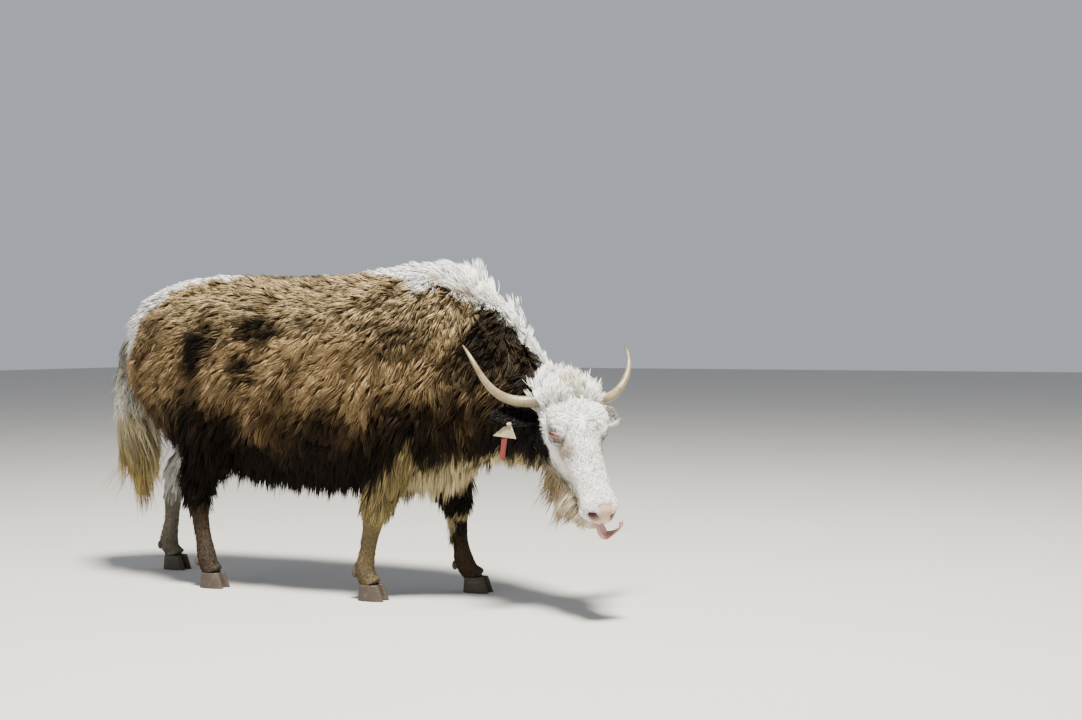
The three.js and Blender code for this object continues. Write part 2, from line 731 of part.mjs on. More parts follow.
const ribbonTop = -TAG.drop * 0.9 - GAP;
const ribbonOutline = [
  [RIBBON.shift - RIBBON.halfWidth, ribbonTop - 3],
  [RIBBON.shift + RIBBON.halfWidth, ribbonTop - 3],
  [RIBBON.shift + RIBBON.halfWidth - 9, ribbonTop - RIBBON.length],
  [RIBBON.shift - RIBBON.halfWidth - 7, ribbonTop - RIBBON.length * 0.94],
];
node('ear_ribbon', cut(plate(ribbonOutline, RIBBON.thick, tagTurn), [neckCutter, ...earlierLocks]), 'ribbon');

for (const [name, { loft, seam, x, y, fetlock }] of Object.entries(legs)) {
  const whole = loft.solid();
  const upper = cut(whole.intersect(slab(seam + GAP / 2, 2000)), [torsoCutter]);
  const trimmed = cut(upper, earlierLocks);
  coated(`${name}_upper`, trimmed, 'brown');
  const lower = whole.intersect(slab(HOOF_HEIGHT + GAP, seam - GAP / 2));
  coated(`${name}_lower`, cut(lower, earlierLocks), 'cream');
  for (const [part, way] of Object.entries({ outer: Math.sign(y), inner: -Math.sign(y) })) {
    node(`${name}_claw_${part}`, claw(x, y, way), 'hoof');
    const dewclaw = ballAt(vec(fetlock[0] - 36, y + way * 17, fetlock[1] - 18), vec(12, 11, 19), undefined, 6);
    node(`${name}_dewclaw_${part}`, cut(dewclaw, [loft.solid(GAP)]), 'hoof');
  }
}

// The origin is on the floor, under the middle of the whole animal.
const bounds = new THREE.Box3().setFromObject(yak, true);
const middle = bounds.getCenter(new THREE.Vector3());
yak.position.set(-middle.x, -middle.y, 0);

export default yak;
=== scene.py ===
# A domestic yak, life size and still: mid-stride, head low and turned to its right, its
# tongue out, with a cloth tag and a ribbon in its right ear. Numbers are millimetres in
# the yak's own frame: +X the way the trunk faces, +Y to its left, +Z up.
import math
from functools import partial
import bpy
import numpy as np
from mathutils import Matrix, Vector
from mathutils.bvhtree import BVHTree
from mathutils.kdtree import KDTree


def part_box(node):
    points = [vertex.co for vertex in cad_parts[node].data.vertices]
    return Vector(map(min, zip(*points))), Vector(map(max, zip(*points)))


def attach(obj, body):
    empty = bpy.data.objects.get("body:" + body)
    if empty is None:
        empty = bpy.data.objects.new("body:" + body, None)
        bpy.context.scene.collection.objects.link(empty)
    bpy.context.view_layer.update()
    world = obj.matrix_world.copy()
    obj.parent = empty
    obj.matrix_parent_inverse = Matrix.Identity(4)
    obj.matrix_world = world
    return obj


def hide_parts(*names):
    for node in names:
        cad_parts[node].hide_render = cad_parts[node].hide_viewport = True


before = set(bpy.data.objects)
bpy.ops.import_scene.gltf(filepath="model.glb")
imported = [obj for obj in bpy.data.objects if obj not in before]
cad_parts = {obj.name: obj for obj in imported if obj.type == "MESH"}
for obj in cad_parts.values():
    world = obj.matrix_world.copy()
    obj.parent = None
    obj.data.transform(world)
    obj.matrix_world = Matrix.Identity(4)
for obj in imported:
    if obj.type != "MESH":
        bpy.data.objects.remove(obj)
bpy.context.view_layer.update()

# BODY
# Trunk, neck, tail and legs: flesh over bone, grown together into one closed form. Each is
# a line of cross-sections, as wide and deep as the real one is under its coat.
CLAW_CORNER = (0.192, -0.2085, 0)      # metres, in the yak's own frame
SHIFT = np.array(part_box("fore_right_claw_outer")[0]) - CLAW_CORNER


def unit(v):
    return v / np.maximum(np.linalg.norm(v, axis=-1, keepdims=True), 1e-9)


def dot(a, b):
    return (a * b).sum(-1, keepdims=True)


def curve(rows, t):
    """The rows' values at shares t of the smooth line through them."""
    last = len(rows) - 1
    place = np.clip(t, 0, 1) * last
    i = np.minimum(place.astype(int), last - 1)
    w = (place - i)[:, None]
    padded = np.vstack([2 * rows[0] - rows[1], rows, 2 * rows[-1] - rows[-2]])
    a, b, c, d = (padded[i + k] for k in range(4))
    leave, arrive = (c - a) / 2, (d - b) / 2
    return b + w * (leave + w * (3 * c - 3 * b - 2 * leave - arrive + w * (2 * b - 2 * c + leave + arrive)))


class Form:
    """A body or limb: rows of [x, y, z, half width, height above, depth below] on one line."""
    STRETCHES = 60      # the line is measured in this many pieces

    def __init__(self, rows, power=2.2, across=(0, 1, 0), blunt=(0.6, 0.6), turn=None, start=None):
        self.rows = np.array(rows, float)
        self.across = np.array(across, float)
        self.power, self.blunt = power, blunt
        if turn is not None:
            self.rows[:, :3] = self.rows[:, :3] @ turn + start
            self.across = self.across @ turn
        self.stops = self.frames(np.linspace(0, 1, self.STRETCHES + 1))
        self.length = np.linalg.norm(np.diff(self.stops[0], axis=0), axis=1).sum()

    def frames(self, t):
        t = np.clip(t, 0, 1)
        values = curve(self.rows, t)
        ahead = curve(self.rows, np.minimum(t + 0.01, 1)) - curve(self.rows, np.maximum(t - 0.01, 0))
        along = unit(ahead[:, :3])
        side = unit(self.across - along * (along @ self.across)[:, None])
        return values[:, :3], along, side, np.cross(along, side), values[:, 3:]

    def points(self, t, degrees, shrink=1.0, ahead=0.0):
        """Points at shares t of the length, 90 degrees being the top."""
        centre, along, side, up, size = self.frames(t)
        x, y = np.cos(np.radians(degrees)), np.sin(np.radians(degrees))
        x, y = (np.sign(v) * np.abs(v) ** (2 / self.power) for v in (x, y))
        tall = np.where(y > 0, size[:, 1], size[:, 2])
        return (centre + side * (size[:, 0] * shrink * x)[:, None] + up * (tall * shrink * y)[:, None]
                + along * np.reshape(ahead, (-1, 1)))

    def locate(self, points):
        """Each point's share of the length, angle, and how far outside the form it is."""
        centres = self.stops[0]
        near = np.concatenate([
            ((block[:, None] - centres) ** 2).sum(2).argmin(1) for block in np.array_split(points, 60)
        ])
        centre, along, side, up, size = (part[near] for part in self.stops)
        off = points - centre
        x, y, z = (dot(off, axis)[:, 0] for axis in (side, up, along))
        past_end = np.where(near == self.STRETCHES, np.maximum(0, z), 0)
        beyond = np.where(near == 0, np.maximum(0, -z), past_end)
        tall = np.where(y > 0, size[:, 1], size[:, 2])
        ratio = (np.abs(x / size[:, 0]) ** self.power + np.abs(y / tall) ** self.power
                 + (beyond / np.maximum(12, 0.6 * size[:, 0])) ** 2) ** (1 / self.power)
        reach = np.sqrt(x * x + y * y + beyond * beyond)
        outside = reach - reach / np.maximum(ratio, 0.05)
        share = near / self.STRETCHES + z / self.length
        return share, np.degrees(np.arctan2(y / tall, x / size[:, 0])), outside

    def shell(self, sides=40, rings=40):
        """The form's own closed surface, rounded off at its blunt ends."""
        stops = [(i / rings, 0) for i in range(rings + 1)]
        if self.blunt[0] > 0:
            stops = [(0, tilt) for tilt in (75, 50, 25)] + stops
        if self.blunt[1] > 0:
            stops += [(1, tilt) for tilt in (25, 50, 75)]
        angles = np.arange(sides) * 360 / sides
        drawn = []
        for t, tilt in stops:
            size = self.frames(np.array([float(t)]))[4][0]
            bulge = self.blunt[int(t)] * min(size[0], size[1]) * math.sin(math.radians(tilt))
            ahead = bulge if t else -bulge
            drawn.append(self.points(np.full(sides, float(t)), angles, math.cos(math.radians(tilt)), ahead))
        return closed(drawn)


def bands(rings, count):
    """The triangles between rings of count points each, one ring after another."""
    k = np.arange(count)
    after = (k + 1) % count
    faces = []
    for i in range(rings - 1):
        a, b = i * count, (i + 1) * count
        faces.append(np.stack([a + k, b + k, b + after], 1))
        faces.append(np.stack([a + k, b + after, a + after], 1))
    return faces


def closed(drawn):
    """A closed skin over rings of points, with a fan at each end."""
    count = len(drawn[0])
    points = np.vstack(drawn + [drawn[0].mean(0), drawn[-1].mean(0)])
    k = np.arange(count)
    after = (k + 1) % count
    faces = bands(len(drawn), count)
    last = (len(drawn) - 1) * count
    faces.append(np.stack([k, after, np.full(count, len(points) - 2)], 1))
    faces.append(np.stack([last + after, last + k, np.full(count, len(points) - 1)], 1))
    return points, np.vstack(faces)


def together(parts):
    points, faces, count = [], [], 0
    for some, triangles in parts:
        points.append(some)
        faces.append(triangles + count)
        count += len(some)
    return np.vstack(points), np.vstack(faces)


def piece(name, points, faces, colours=None, spots=None):
    """A mesh from points in the yak's frame and triangles, with a colour and a place on the
    unwrap for each point where they are given."""
    mesh = bpy.data.meshes.new(name)
    mesh.vertices.add(len(points))
    mesh.vertices.foreach_set("co", (points / 1000 + SHIFT).astype(np.float32).ravel())
    mesh.loops.add(faces.size)
    mesh.loops.foreach_set("vertex_index", faces.astype(np.int32).ravel())
    mesh.polygons.add(len(faces))
    mesh.polygons.foreach_set("loop_start", np.arange(0, faces.size, 3, dtype=np.int32))
    mesh.update(calc_edges=True)
    mesh.shade_smooth()
    if colours is not None:
        layer = mesh.color_attributes.new("marking", "FLOAT_COLOR", "POINT")
        full = np.ones((len(points), 4), np.float32)
        full[:, :colours.shape[1]] = colours
        layer.data.foreach_set("color", full.ravel())
    if spots is not None:
        layer = mesh.uv_layers.new(name="OFBake")
        layer.data.foreach_set("uv", spots[faces.ravel()].astype(np.float32).ravel())
    made = bpy.data.objects.new(name, mesh)
    bpy.context.collection.objects.link(made)
    return made


def fused(parts, voxel, rounds):
    """One closed skin around all the parts, smoothed, as points and triangles."""
    rough = piece("rough", *together(parts))
    remesh = rough.modifiers.new("one", "REMESH")
    remesh.mode = "VOXEL"
    remesh.voxel_size = voxel / 1000
    soft = rough.modifiers.new("soft", "SMOOTH")
    soft.factor = 0.5
    soft.iterations = rounds
    mesh = bpy.data.meshes.new_from_object(rough.evaluated_get(bpy.context.evaluated_depsgraph_get()))
    bpy.data.objects.remove(rough)
    points = np.empty(len(mesh.vertices) * 3, np.float32)
    mesh.vertices.foreach_get("co", points)
    mesh.calc_loop_triangles()
    faces = np.empty(len(mesh.loop_triangles) * 3, np.int32)
    mesh.loop_triangles.foreach_get("vertices", faces)
    bpy.data.meshes.remove(mesh)
    return (points.reshape(-1, 3).astype(float) - SHIFT) * 1000, faces.reshape(-1, 3)


TRUNK_REAR, TRUNK_LENGTH, MIDDLE_HEIGHT = -940, 1620, 860
BACK_HEIGHT, HALF_WIDTH = 1240, 275
# each row: share of the trunk's length, of the back's height at the top and at the belly,
# and of the half width
trunk_shares = np.array([
    [0.02, 0.925, 0.63, 0.46], [0.06, 0.955, 0.56, 0.66], [0.14, 0.985, 0.49, 0.82],
    [0.24, 1.0, 0.45, 0.9], [0.38, 0.994, 0.41, 0.96], [0.54, 0.992, 0.395, 1.0],
    [0.7, 1.002, 0.39, 0.97], [0.82, 1.023, 0.395, 0.88], [0.91, 1.0, 0.42, 0.76],
    [0.97, 0.935, 0.48, 0.6],
])
along_share, top_share, bottom_share, width_share = trunk_shares.T
zero = np.zeros(len(trunk_shares))
trunk = Form(np.stack([
    TRUNK_REAR + along_share * TRUNK_LENGTH, zero, zero + MIDDLE_HEIGHT, width_share * HALF_WIDTH,
    top_share * BACK_HEIGHT - MIDDLE_HEIGHT, MIDDLE_HEIGHT - bottom_share * BACK_HEIGHT,
], 1), power=2.3, blunt=(0.4, 0.4))
neck = Form([
    [430, 0, 880, 190, 300, 320], [600, -10, 850, 168, 285, 290], [740, -36, 795, 138, 185, 228],
    [870, -78, 738, 114, 122, 165], [975, -118, 698, 98, 92, 135],
], power=2.1)
tail = Form([
    [-900, 0, 1060, 42, 42, 42], [-985, 0, 1010, 40, 38, 40], [-1035, 0, 900, 42, 40, 40],
    [-1052, 0, 740, 44, 46, 42], [-1035, 0, 600, 40, 44, 40], [-1015, 0, 520, 22, 26, 24],
], power=2, blunt=(0.5, 1))
# each leg's rows: x, z, half width, depth to the front and to the rear
leg_rows = {
    "fore_right": [
        [400, 780, 62, 105, 115], [372, 640, 62, 88, 92], [322, 500, 54, 64, 70], [272, 395, 43, 46, 50],
        [250, 325, 41, 42, 43], [237, 265, 32, 32, 33], [222, 190, 27, 28, 29], [208, 120, 35, 34, 38],
        [222, 82, 32, 32, 36], [240, 30, 40, 44, 42],
    ],
    "fore_left": [
        [410, 780, 62, 105, 115], [405, 640, 62, 88, 92], [408, 500, 54, 64, 70], [424, 395, 43, 46, 50],
        [434, 325, 41, 42, 43], [441, 265, 32, 32, 33], [449, 190, 27, 28, 29], [466, 120, 35, 34, 38],
        [492, 82, 32, 32, 36], [520, 30, 40, 44, 42],
    ],
    "hind_right": [
        [-600, 860, 66, 140, 150], [-530, 700, 66, 125, 140], [-500, 570, 58, 78, 98],
        [-545, 465, 44, 48, 62], [-572, 405, 38, 42, 48], [-562, 320, 30, 32, 35],
        [-541, 210, 27, 29, 30], [-522, 120, 35, 34, 38], [-508, 82, 32, 32, 36], [-490, 30, 40, 44, 42],
    ],
    "hind_left": [
        [-700, 860, 66, 140, 150], [-655, 700, 66, 125, 140], [-745, 570, 58, 78, 98],
        [-860, 475, 44, 48, 62], [-920, 410, 38, 42, 48], [-938, 320, 30, 32, 35],
        [-952, 210, 27, 29, 30], [-965, 120, 35, 34, 38], [-950, 82, 32, 32, 36], [-930, 30, 40, 44, 42],
    ],
}
HALF_STANCE = 165
LEG_END = 57      # just inside the hoof's wall
legs = {}
for name, rows in leg_rows.items():
    side = -HALF_STANCE if name.endswith("right") else HALF_STANCE
    legs[name] = Form([[x, side, max(z, LEG_END), *rest] for x, z, *rest in rows], power=2.1, blunt=(0.3, 0))
body_forms = [trunk, neck, tail, *legs.values()]
body_points, body_faces = fused([form.shell() for form in body_forms], voxel=10, rounds=6)

# HEAD
# Skull and jaw under thin flesh, in a frame of their own: +X down the face, +Y to its left,
# +Z out of the brow. Rounds of flesh fill out the brows, cheeks, lips and nose.
POLL = np.array([1050.0, -150.0, 826.0])
HEAD = np.array([[0.44363, -0.34041, -0.82904], [0.60876, 0.79335, 0.0], [0.65771, -0.50468, 0.55919]])


def in_head(points):
    return np.asarray(points, float) @ HEAD + POLL


def from_head(points):
    return (points - POLL) @ HEAD.T


def ramp(value, low, high):
    """0 up to low, 1 from high on, and a smooth rise between."""
    share = np.clip((value - low) / (high - low), 0, 1)
    return share * share * (3 - 2 * share)


def ball(centre, radii, sides=24):
    angles = np.linspace(0, 2 * math.pi, sides, endpoint=False)
    rings = []
    for tilt in np.linspace(-math.pi / 2, math.pi / 2, sides // 2 + 1)[1:-1]:
        flat = math.cos(tilt)
        ring = np.stack([np.cos(angles) * flat, np.sin(angles) * flat, np.full(sides, math.sin(tilt))], 1)
        rings.append(ring * radii + centre)
    return closed(rings)


skull = Form([
    [-30, 0, -95, 85, 70, 75], [30, 0, -95, 110, 95, 105], [100, 0, -95, 116, 102, 115],
    [180, 0, -95, 106, 97, 122], [250, 0, -85, 84, 78, 92], [330, 0, -68, 66, 55, 52],
    [400, 0, -62, 62, 46, 40], [450, 0, -60, 70, 44, 38], [492, 0, -62, 66, 38, 34],
], power=2.3, blunt=(0.7, 0.7), turn=HEAD, start=POLL)
jaw = Form([
    [150, 0, -185, 62, 50, 50], [230, 0, -175, 58, 50, 42], [320, 0, -142, 48, 36, 28],
    [400, 0, -128, 42, 26, 22], [455, 0, -127, 46, 17, 19], [484, 0, -130, 40, 11, 15],
], power=2.2, blunt=(0.7, 0.6), turn=HEAD, start=POLL)
flesh = []
for side in (1, -1):
    flesh += [
        ([126, side * 78, -20], [58, 42, 34]),      # brow
        ([160, side * 80, -42], [46, 29, 45]),      # socket rim
        ([115, side * 70, -150], [78, 42, 62]),     # cheek
        ([32, side * 72, -34], [34, 34, 34]),       # horn boss
        ([482, side * 38, -55], [26, 28, 29]),      # nostril wing
        ([470, side * 40, -86], [36, 32, 24]),      # upper lip
        ([300, side * 40, -60], [80, 26, 30]),      # cheek bone running to the nose
    ]
flesh += [
    ([466, 0, -146], [36, 38, 24]),                 # chin
    ([60, 0, -20], [90, 80, 30]),                   # forehead
    ([490, 0, -78], [28, 44, 26]),                  # between the nostrils
    ([215, 0, -50], [120, 66, 46]),                 # bridge of the nose
]
balls = []
for centre, radii in flesh:
    points, faces = ball([0, 0, 0], radii)
    balls.append((in_head(points + centre), faces))
head_points, head_faces = fused([skull.shell(), jaw.shell(), *balls], voxel=3.2, rounds=16)
face = BVHTree.FromPolygons(head_points.tolist(), head_faces.tolist())

# The face's folds: nostrils, the cleft of the lip, the mouth's corner and the eye sockets.
h = from_head(head_points)
way = np.sign(h[:, 1])
x, y, z = h[:, 0], np.abs(h[:, 1]), h[:, 2]
hole = np.exp(-(((y - 39 + 0.5 * (z + 52)) / 17) ** 2 + ((z + 55) / 14) ** 2) ** 1.6)
rim = np.exp(-((np.hypot((y - 38) / 16, (z + 54) / 16) - 1.2) / 0.35) ** 2)
front = ramp(x, 470, 492)
h[:, 0] -= ramp(x, 455, 500) * (15 * (y / 60) ** 2 + 10 * np.clip((z + 78) / 40, 0, 1) ** 2)
h[:, 0] += front * (4 * rim - 36 * hole)
h[:, 0] -= front * 5 * np.exp(-(y / 4.5) ** 2) * ramp(-z, 50, 72)
crease = np.exp(-((z + 104 + 0.1 * (x - 484)) / 5) ** 2) * ramp(x, 372, 400) * (1 - ramp(x, 470, 484))
h[:, 1] -= way * 10 * crease
wrinkle = np.sin((x + 0.5 * z) / 3.4) * ramp(x, 430, 455) * ramp(-z, 60, 80) * (1 - ramp(x, 476, 488))
h[:, 1] += way * 0.9 * wrinkle
EYE = np.array([175.0, 92.0, -37.0])
from_eye = np.hypot(x - EYE[0], z - EYE[2])
in_socket = (from_eye < 36) & (y > 60)
h[in_socket, 1] = (way * np.minimum(y, 83 + 17 * ramp(from_eye, 12, 36)))[in_socket]
bag = np.exp(-((from_eye - 44) / 5) ** 2) * ramp(y, 60, 80)
bag += 0.7 * np.exp(-((from_eye - 56) / 4) ** 2) * ramp(y, 60, 80)
h[:, 1] -= way * 3.2 * bag * ramp(-z, 20, 50)
head_points = in_head(h)

# LIDS
# Two folds of thin skin that nearly meet over each eye, with a wet red edge turned in to
# the ball. Their outer rings lie down on the face, under its hair.
LID_SIDES = 64
# on the face, the way along the slit and the way across it
SLIT = np.array([0.75, 0.0, 0.66])
LID = np.array([-0.66, 0.0, 0.75])
shells = [(body_points, body_faces), (head_points, head_faces)]
owners = ["body"] * len(body_points) + ["head"] * len(head_points)
lid_share = []
for side in (1, -1):
    turn = np.linspace(0, 2 * math.pi, LID_SIDES, endpoint=False)
    upper = np.sin(turn) > 0
    rings = []
    for r in (-1, -0.5, 0, 0.04, 0.1, 0.18, 0.27, 0.36, 0.45, 0.55, 0.65, 0.75, 0.85, 0.95, 1.05, 1.15):
        reach = max(r, 0)
        s = np.cos(turn) * (24 + 22 * reach)
        w = np.sin(turn) * (np.where(upper, 4.0, 2.4) * (1 - reach) + 34 * reach)
        w -= 2.4 * (1 - (s / 46) ** 2) * (1 - reach)
        ball_top = 20.6 * np.sqrt(np.clip(1 - (s / 30) ** 2 - (w / 40) ** 2, 0.05, 1))
        spot = EYE * (1, side, 1) + s[:, None] * SLIT + w[:, None] * LID
        # the front corner lies deeper than the rear one, and a furrow runs under the brow
        high = ball_top - 0.3 * s + min(r, 0) * 3.5
        fold = np.where(upper, 1.9, 1.1) * np.sin(reach * 19) * np.abs(np.sin(turn)) * ramp(reach, 0.05, 0.2)
        fold += 1.5 * np.exp(-((reach - 0.04) / 0.06) ** 2)
        furrow = np.exp(-((reach - 0.5) / 0.16) ** 2) - 0.7 * np.exp(-((reach - 0.86) / 0.14) ** 2)
        fold -= np.where(upper, 4.0, 1.5) * furrow * np.sin(turn) ** 2
        ring = in_head(spot + high[:, None] * (0, side, 0))
        hits = [face.find_nearest(p) for p in ring.tolist()]
        near = np.array([hit[0] for hit in hits])
        out = np.array([hit[1] for hit in hits])
        ring += (near - ring) * ramp(reach, 0.15, 0.8)
        height = fold * (1 - ramp(reach, 0.85, 1.05)) + 0.8 - 6 * ramp(reach, 0.95, 1.15)
        rings.append(ring + out * height[:, None])
        lid_share += [r] * LID_SIDES
    faces = [band[:, ::side] for band in bands(len(rings), LID_SIDES)]
    shells.append((np.vstack(rings), np.vstack(faces)))
    owners += ["lid"] * len(shells[-1][0])


# EARS
# Long leaves of gristle under hide, cupped to the front, each a closed shell rooted behind
# the horn. The left one is laid back a little.
def ear_spots(side, t, v, depth=1.0):
    rows = np.array([
        [56, 92, -105, 26, 20], [54, 130, -110, 38, 20], [52, 180, -116, 44, 16], [50, 235, -121, 38, 12],
        [50, 280, -124, 15, 6],
    ], float)
    x, y, z, wide, thick = curve(rows, t).T
    back = np.where(np.broadcast_to(side, t.shape) > 0, t * t, 0)
    x, y, z = x - 15 * back, y - 26 * back, z - 38 * back
    bowl = np.sqrt(np.clip(1 - v * v, 0, 1))
    return in_head(np.stack([x + v * wide, side * y, z - bowl * (thick - (1 - depth) * 5)], 1))


for side in (1, -1):
    back, cup = np.linspace(-1, 1, 15), np.linspace(1, -1, 15)[1:-1]
    v = np.concatenate([back, cup])
    depth = np.concatenate([np.ones(len(back)), np.zeros(len(cup))])
    rings = [ear_spots(side, np.full(len(v), t), v, depth) for t in np.linspace(0, 1, 24)]
    shells.append(closed(rings))
    owners += ["ear"] * len(shells[-1][0])

# MARKINGS
# The hair's colours, the same on hide and coat: golden brown flanks over dark brown, a white
# mane and rump, a cream brisket, a white face with a black ear and cheek, a pink nose.
GOLD = np.array([0.3, 0.205, 0.1])
SUNLIT_STRAW = np.array([0.38, 0.29, 0.16])
BROWN = np.array([0.06, 0.036, 0.015])
SHANK = np.array([0.05, 0.034, 0.021])
DARK = np.array([0.006, 0.0035, 0.0016])
WHITE = np.array([0.84, 0.83, 0.79])
CREAM = np.array([0.44, 0.36, 0.2])
SHADED_FAWN = np.array([0.4, 0.32, 0.19])
OCHRE = np.array([0.3, 0.22, 0.11])
EYE_RECESS_SHADE = np.array([0.19, 0.145, 0.095])
ASH = np.array([0.45, 0.41, 0.34])
GREY = np.array([0.2, 0.175, 0.13])
BLACK = np.array([0.005, 0.004, 0.0035])
PINK = np.array([0.55, 0.36, 0.27])
PALE_PINK = np.array([0.75, 0.52, 0.43])
NOSTRIL_RED = np.array([0.06, 0.014, 0.01])
MOUTH_RED_AND_SHADOW = np.array([0.05, 0.013, 0.01])


def ripple(points, size, seed):
    """Smooth noise from -1 to 1, with forms about this many millimetres across."""
    waves = np.random.default_rng(seed).normal(0, 2.2 / size, (7, 3))
    turns = np.random.default_rng(seed + 50).uniform(0, 6.28, 7)
    return np.sin(points @ waves.T + turns).sum(1) / 3.2


def over(colour, new, share):
    return colour + (new - colour) * share[:, None]


def blot(points, centre, radii, soft=0.3, seed=3):
    """How much of an oval patch with a ragged edge covers each point, on both sides."""
    away = np.sqrt((((points - centre) / radii) ** 2).sum(1)) + 0.2 * ripple(points, 60, seed)
    return 1 - ramp(away, 1 - soft, 1 + soft)


def body_marking(points):
    p = np.abs(points * (0, 1, 0)) + points * (1, 0, 1)
    x, y, z = p.T
    ragged = ripple(p, 70, 5)
    colour = np.tile(GOLD, (len(p), 1))
    # paler straw over the upper body: partly the coat's own tone, partly painted sunlight on the top
    colour = over(colour, SUNLIT_STRAW, 0.7 * ramp(z, 960, 1120))
    colour = over(colour, BROWN, 0.65 * ramp(ripple(points, 75, 8) + 0.6 * ripple(points, 26, 9), 0.0, 1.1))
    colour = over(colour, BROWN, 0.9 * (1 - ramp(z + 55 * ragged, 690, 900)))
    colour = over(colour, DARK, 1 - ramp(z + 55 * ragged, 590, 780))
    for centre, radii, share in [
        ([-478, 240, 950], [85, 170, 100], 1.0), ([-420, 240, 1035], [90, 170, 40], 0.6),
        ([-175, 250, 1035], [115, 170, 50], 0.95), ([-235, 260, 905], [65, 150, 50], 0.9),
        ([15, 250, 1065], [28, 150, 26], 0.6), ([740, 120, 1010], [150, 190, 120], 0.96),
        ([640, 150, 900], [100, 190, 130], 0.8), ([400, 250, 640], [160, 170, 170], 0.9),
        ([840, 120, 740], [200, 260, 140], 0.82), ([-500, 200, 600], [250, 260, 195], 0.98),
        ([-120, 0, 1260], [260, 95, 60], 0.8), ([560, 250, 730], [100, 160, 110], 0.6),
        ([700, 220, 620], [150, 200, 90], 0.6), ([120, 280, 700], [90, 120, 60], 0.6),
        ([420, 250, 1000], [90, 170, 70], 0.55), ([890, 100, 860], [120, 220, 90], 0.9),
        ([-720, 240, 930], [150, 170, 150], 0.3), ([400, 250, 1060], [150, 170, 70], 0.3),
    ]:
        colour = over(colour, DARK, share * blot(p, centre, radii, 0.45))
    colour = over(colour, CREAM * 0.85, 0.95 * blot(p, [600, 90, 490], [185, 240, 118], 0.2, 6))
    colour = over(colour, CREAM * 1.3, 0.9 * blot(p, [810, 60, 555], [150, 170, 58], 0.25, 7))
    colour = over(colour, BLACK * 1.5, blot(points, [935, -200, 690], [125, 130, 100], 0.2, 12))
    colour = over(colour, CREAM * 0.8, 0.9 * blot(points, [345, -200, 500], [75, 130, 95], 0.25, 6))
    wide = np.interp(x, [-940, -800, -450], [190, 150, 92]) + 14 * ragged
    rump = (1 - ramp(y - wide, -10, 18)) * (1 - ramp(x, -470, -400)) * ramp(z, 900, 980)
    width = np.interp(x, [130, 230, 430, 600, 700, 800, 960], [20, 90, 155, 108, 66, 44, 26])
    lowest = np.interp(x, [130, 430, 600, 740, 870, 975], [1150, 1110, 1070, 920, 800, 740])
    mane = (1 - ramp(y + 18 * ragged, width - 22, width + 12)) * ramp(x, 120, 190)
    mane = mane * ramp(z, lowest, lowest + 40) * (1 - ramp(x + 14 * ragged, 900, 940))
    return over(colour, WHITE, np.maximum(rump, mane))


def tail_marking(points):
    z = points[:, 2] + 40 * ripple(points, 60, 2)
    colour = np.tile(CREAM * (0.9, 0.85, 0.6), (len(z), 1))
    colour = over(colour, WHITE * (0.6, 0.58, 0.52), ramp(z, 620, 800))
    return over(colour, GREY * 0.4, 0.8 * ramp(z, 900, 960) * (1 - ramp(z, 1050, 1090)))


def leg_marking(name, points):
    z = points[:, 2] + 14 * ripple(points, 40, 4)
    if name == "fore_right":
        # the ochre and the cream are dimmed here: painted shade of the body over the leg
        colour = over(np.tile(OCHRE * 0.4, (len(z), 1)), CREAM * (0.4, 0.38, 0.29), ramp(z, 200, 330))
        colour = over(colour, DARK, ramp(z + 1.1 * (230 - points[:, 0]), 405, 455))
    elif name == "fore_left":
        front = np.sin(np.radians(legs[name].locate(points)[1]))
        low = 280 - 70 * ramp(-front, -0.2, 0.6)
        colour = over(np.tile(BROWN * 0.8, (len(z), 1)), DARK, ramp(z, 150, 260))
        # both creams here are dimmed: painted shade of the body over the leg
        colour = over(colour, CREAM * 0.7, ramp(z, low, low + 25) * (1 - ramp(z, 320, 345)))
        colour = over(colour, CREAM * 0.3, ramp(z, 470, 540))
    elif name == "hind_right":
        colour = over(np.tile(SHANK, (len(z), 1)), DARK, ramp(z, 290, 380))
    else:
        colour = over(np.tile(GREY * 0.8, (len(z), 1)), WHITE * 0.55, ramp(z, 300, 420))
        colour = over(colour, DARK, ramp(z, 640, 740))
    return over(colour, body_marking(points), ramp(z, 640, 720))


def head_marking(points):
    spot = from_head(points)
    p = np.abs(spot * (0, 1, 0)) + spot * (1, 0, 1)
    x, y, z = p.T
    colour = np.tile(WHITE, (len(p), 1))
    # tan under the jaw and chin: painted shade on the white hair there
    low = ramp(-z + 10 * ripple(spot, 40, 3), 98, 150) * ramp(x, 60, 120)
    colour = over(colour, SHADED_FAWN, 0.85 * low)
    colour = over(colour, CREAM * 1.2, 0.5 * blot(p, [20, 0, 0], [45, 45, 60], 0.4))
    # tan in front of and round the eyes: painted shade in the eye's recess under the brow
    shade_before_eye = blot(p, [212, 78, -44], [50, 42, 30], 0.55, 8)
    shade_round_eye = blot(p, [182, 98, -46], [50, 60, 30], 0.5, 8)
    colour = over(colour, EYE_RECESS_SHADE, 0.9 * np.maximum(shade_before_eye, shade_round_eye))
    colour = over(colour, ASH, 0.5 * blot(p, [330, 90, -75], [80, 60, 26], 0.6, 18))
    return over(colour, BLACK, blot(spot, [70, -115, -155], [140, 66, 78], 0.14, 9))


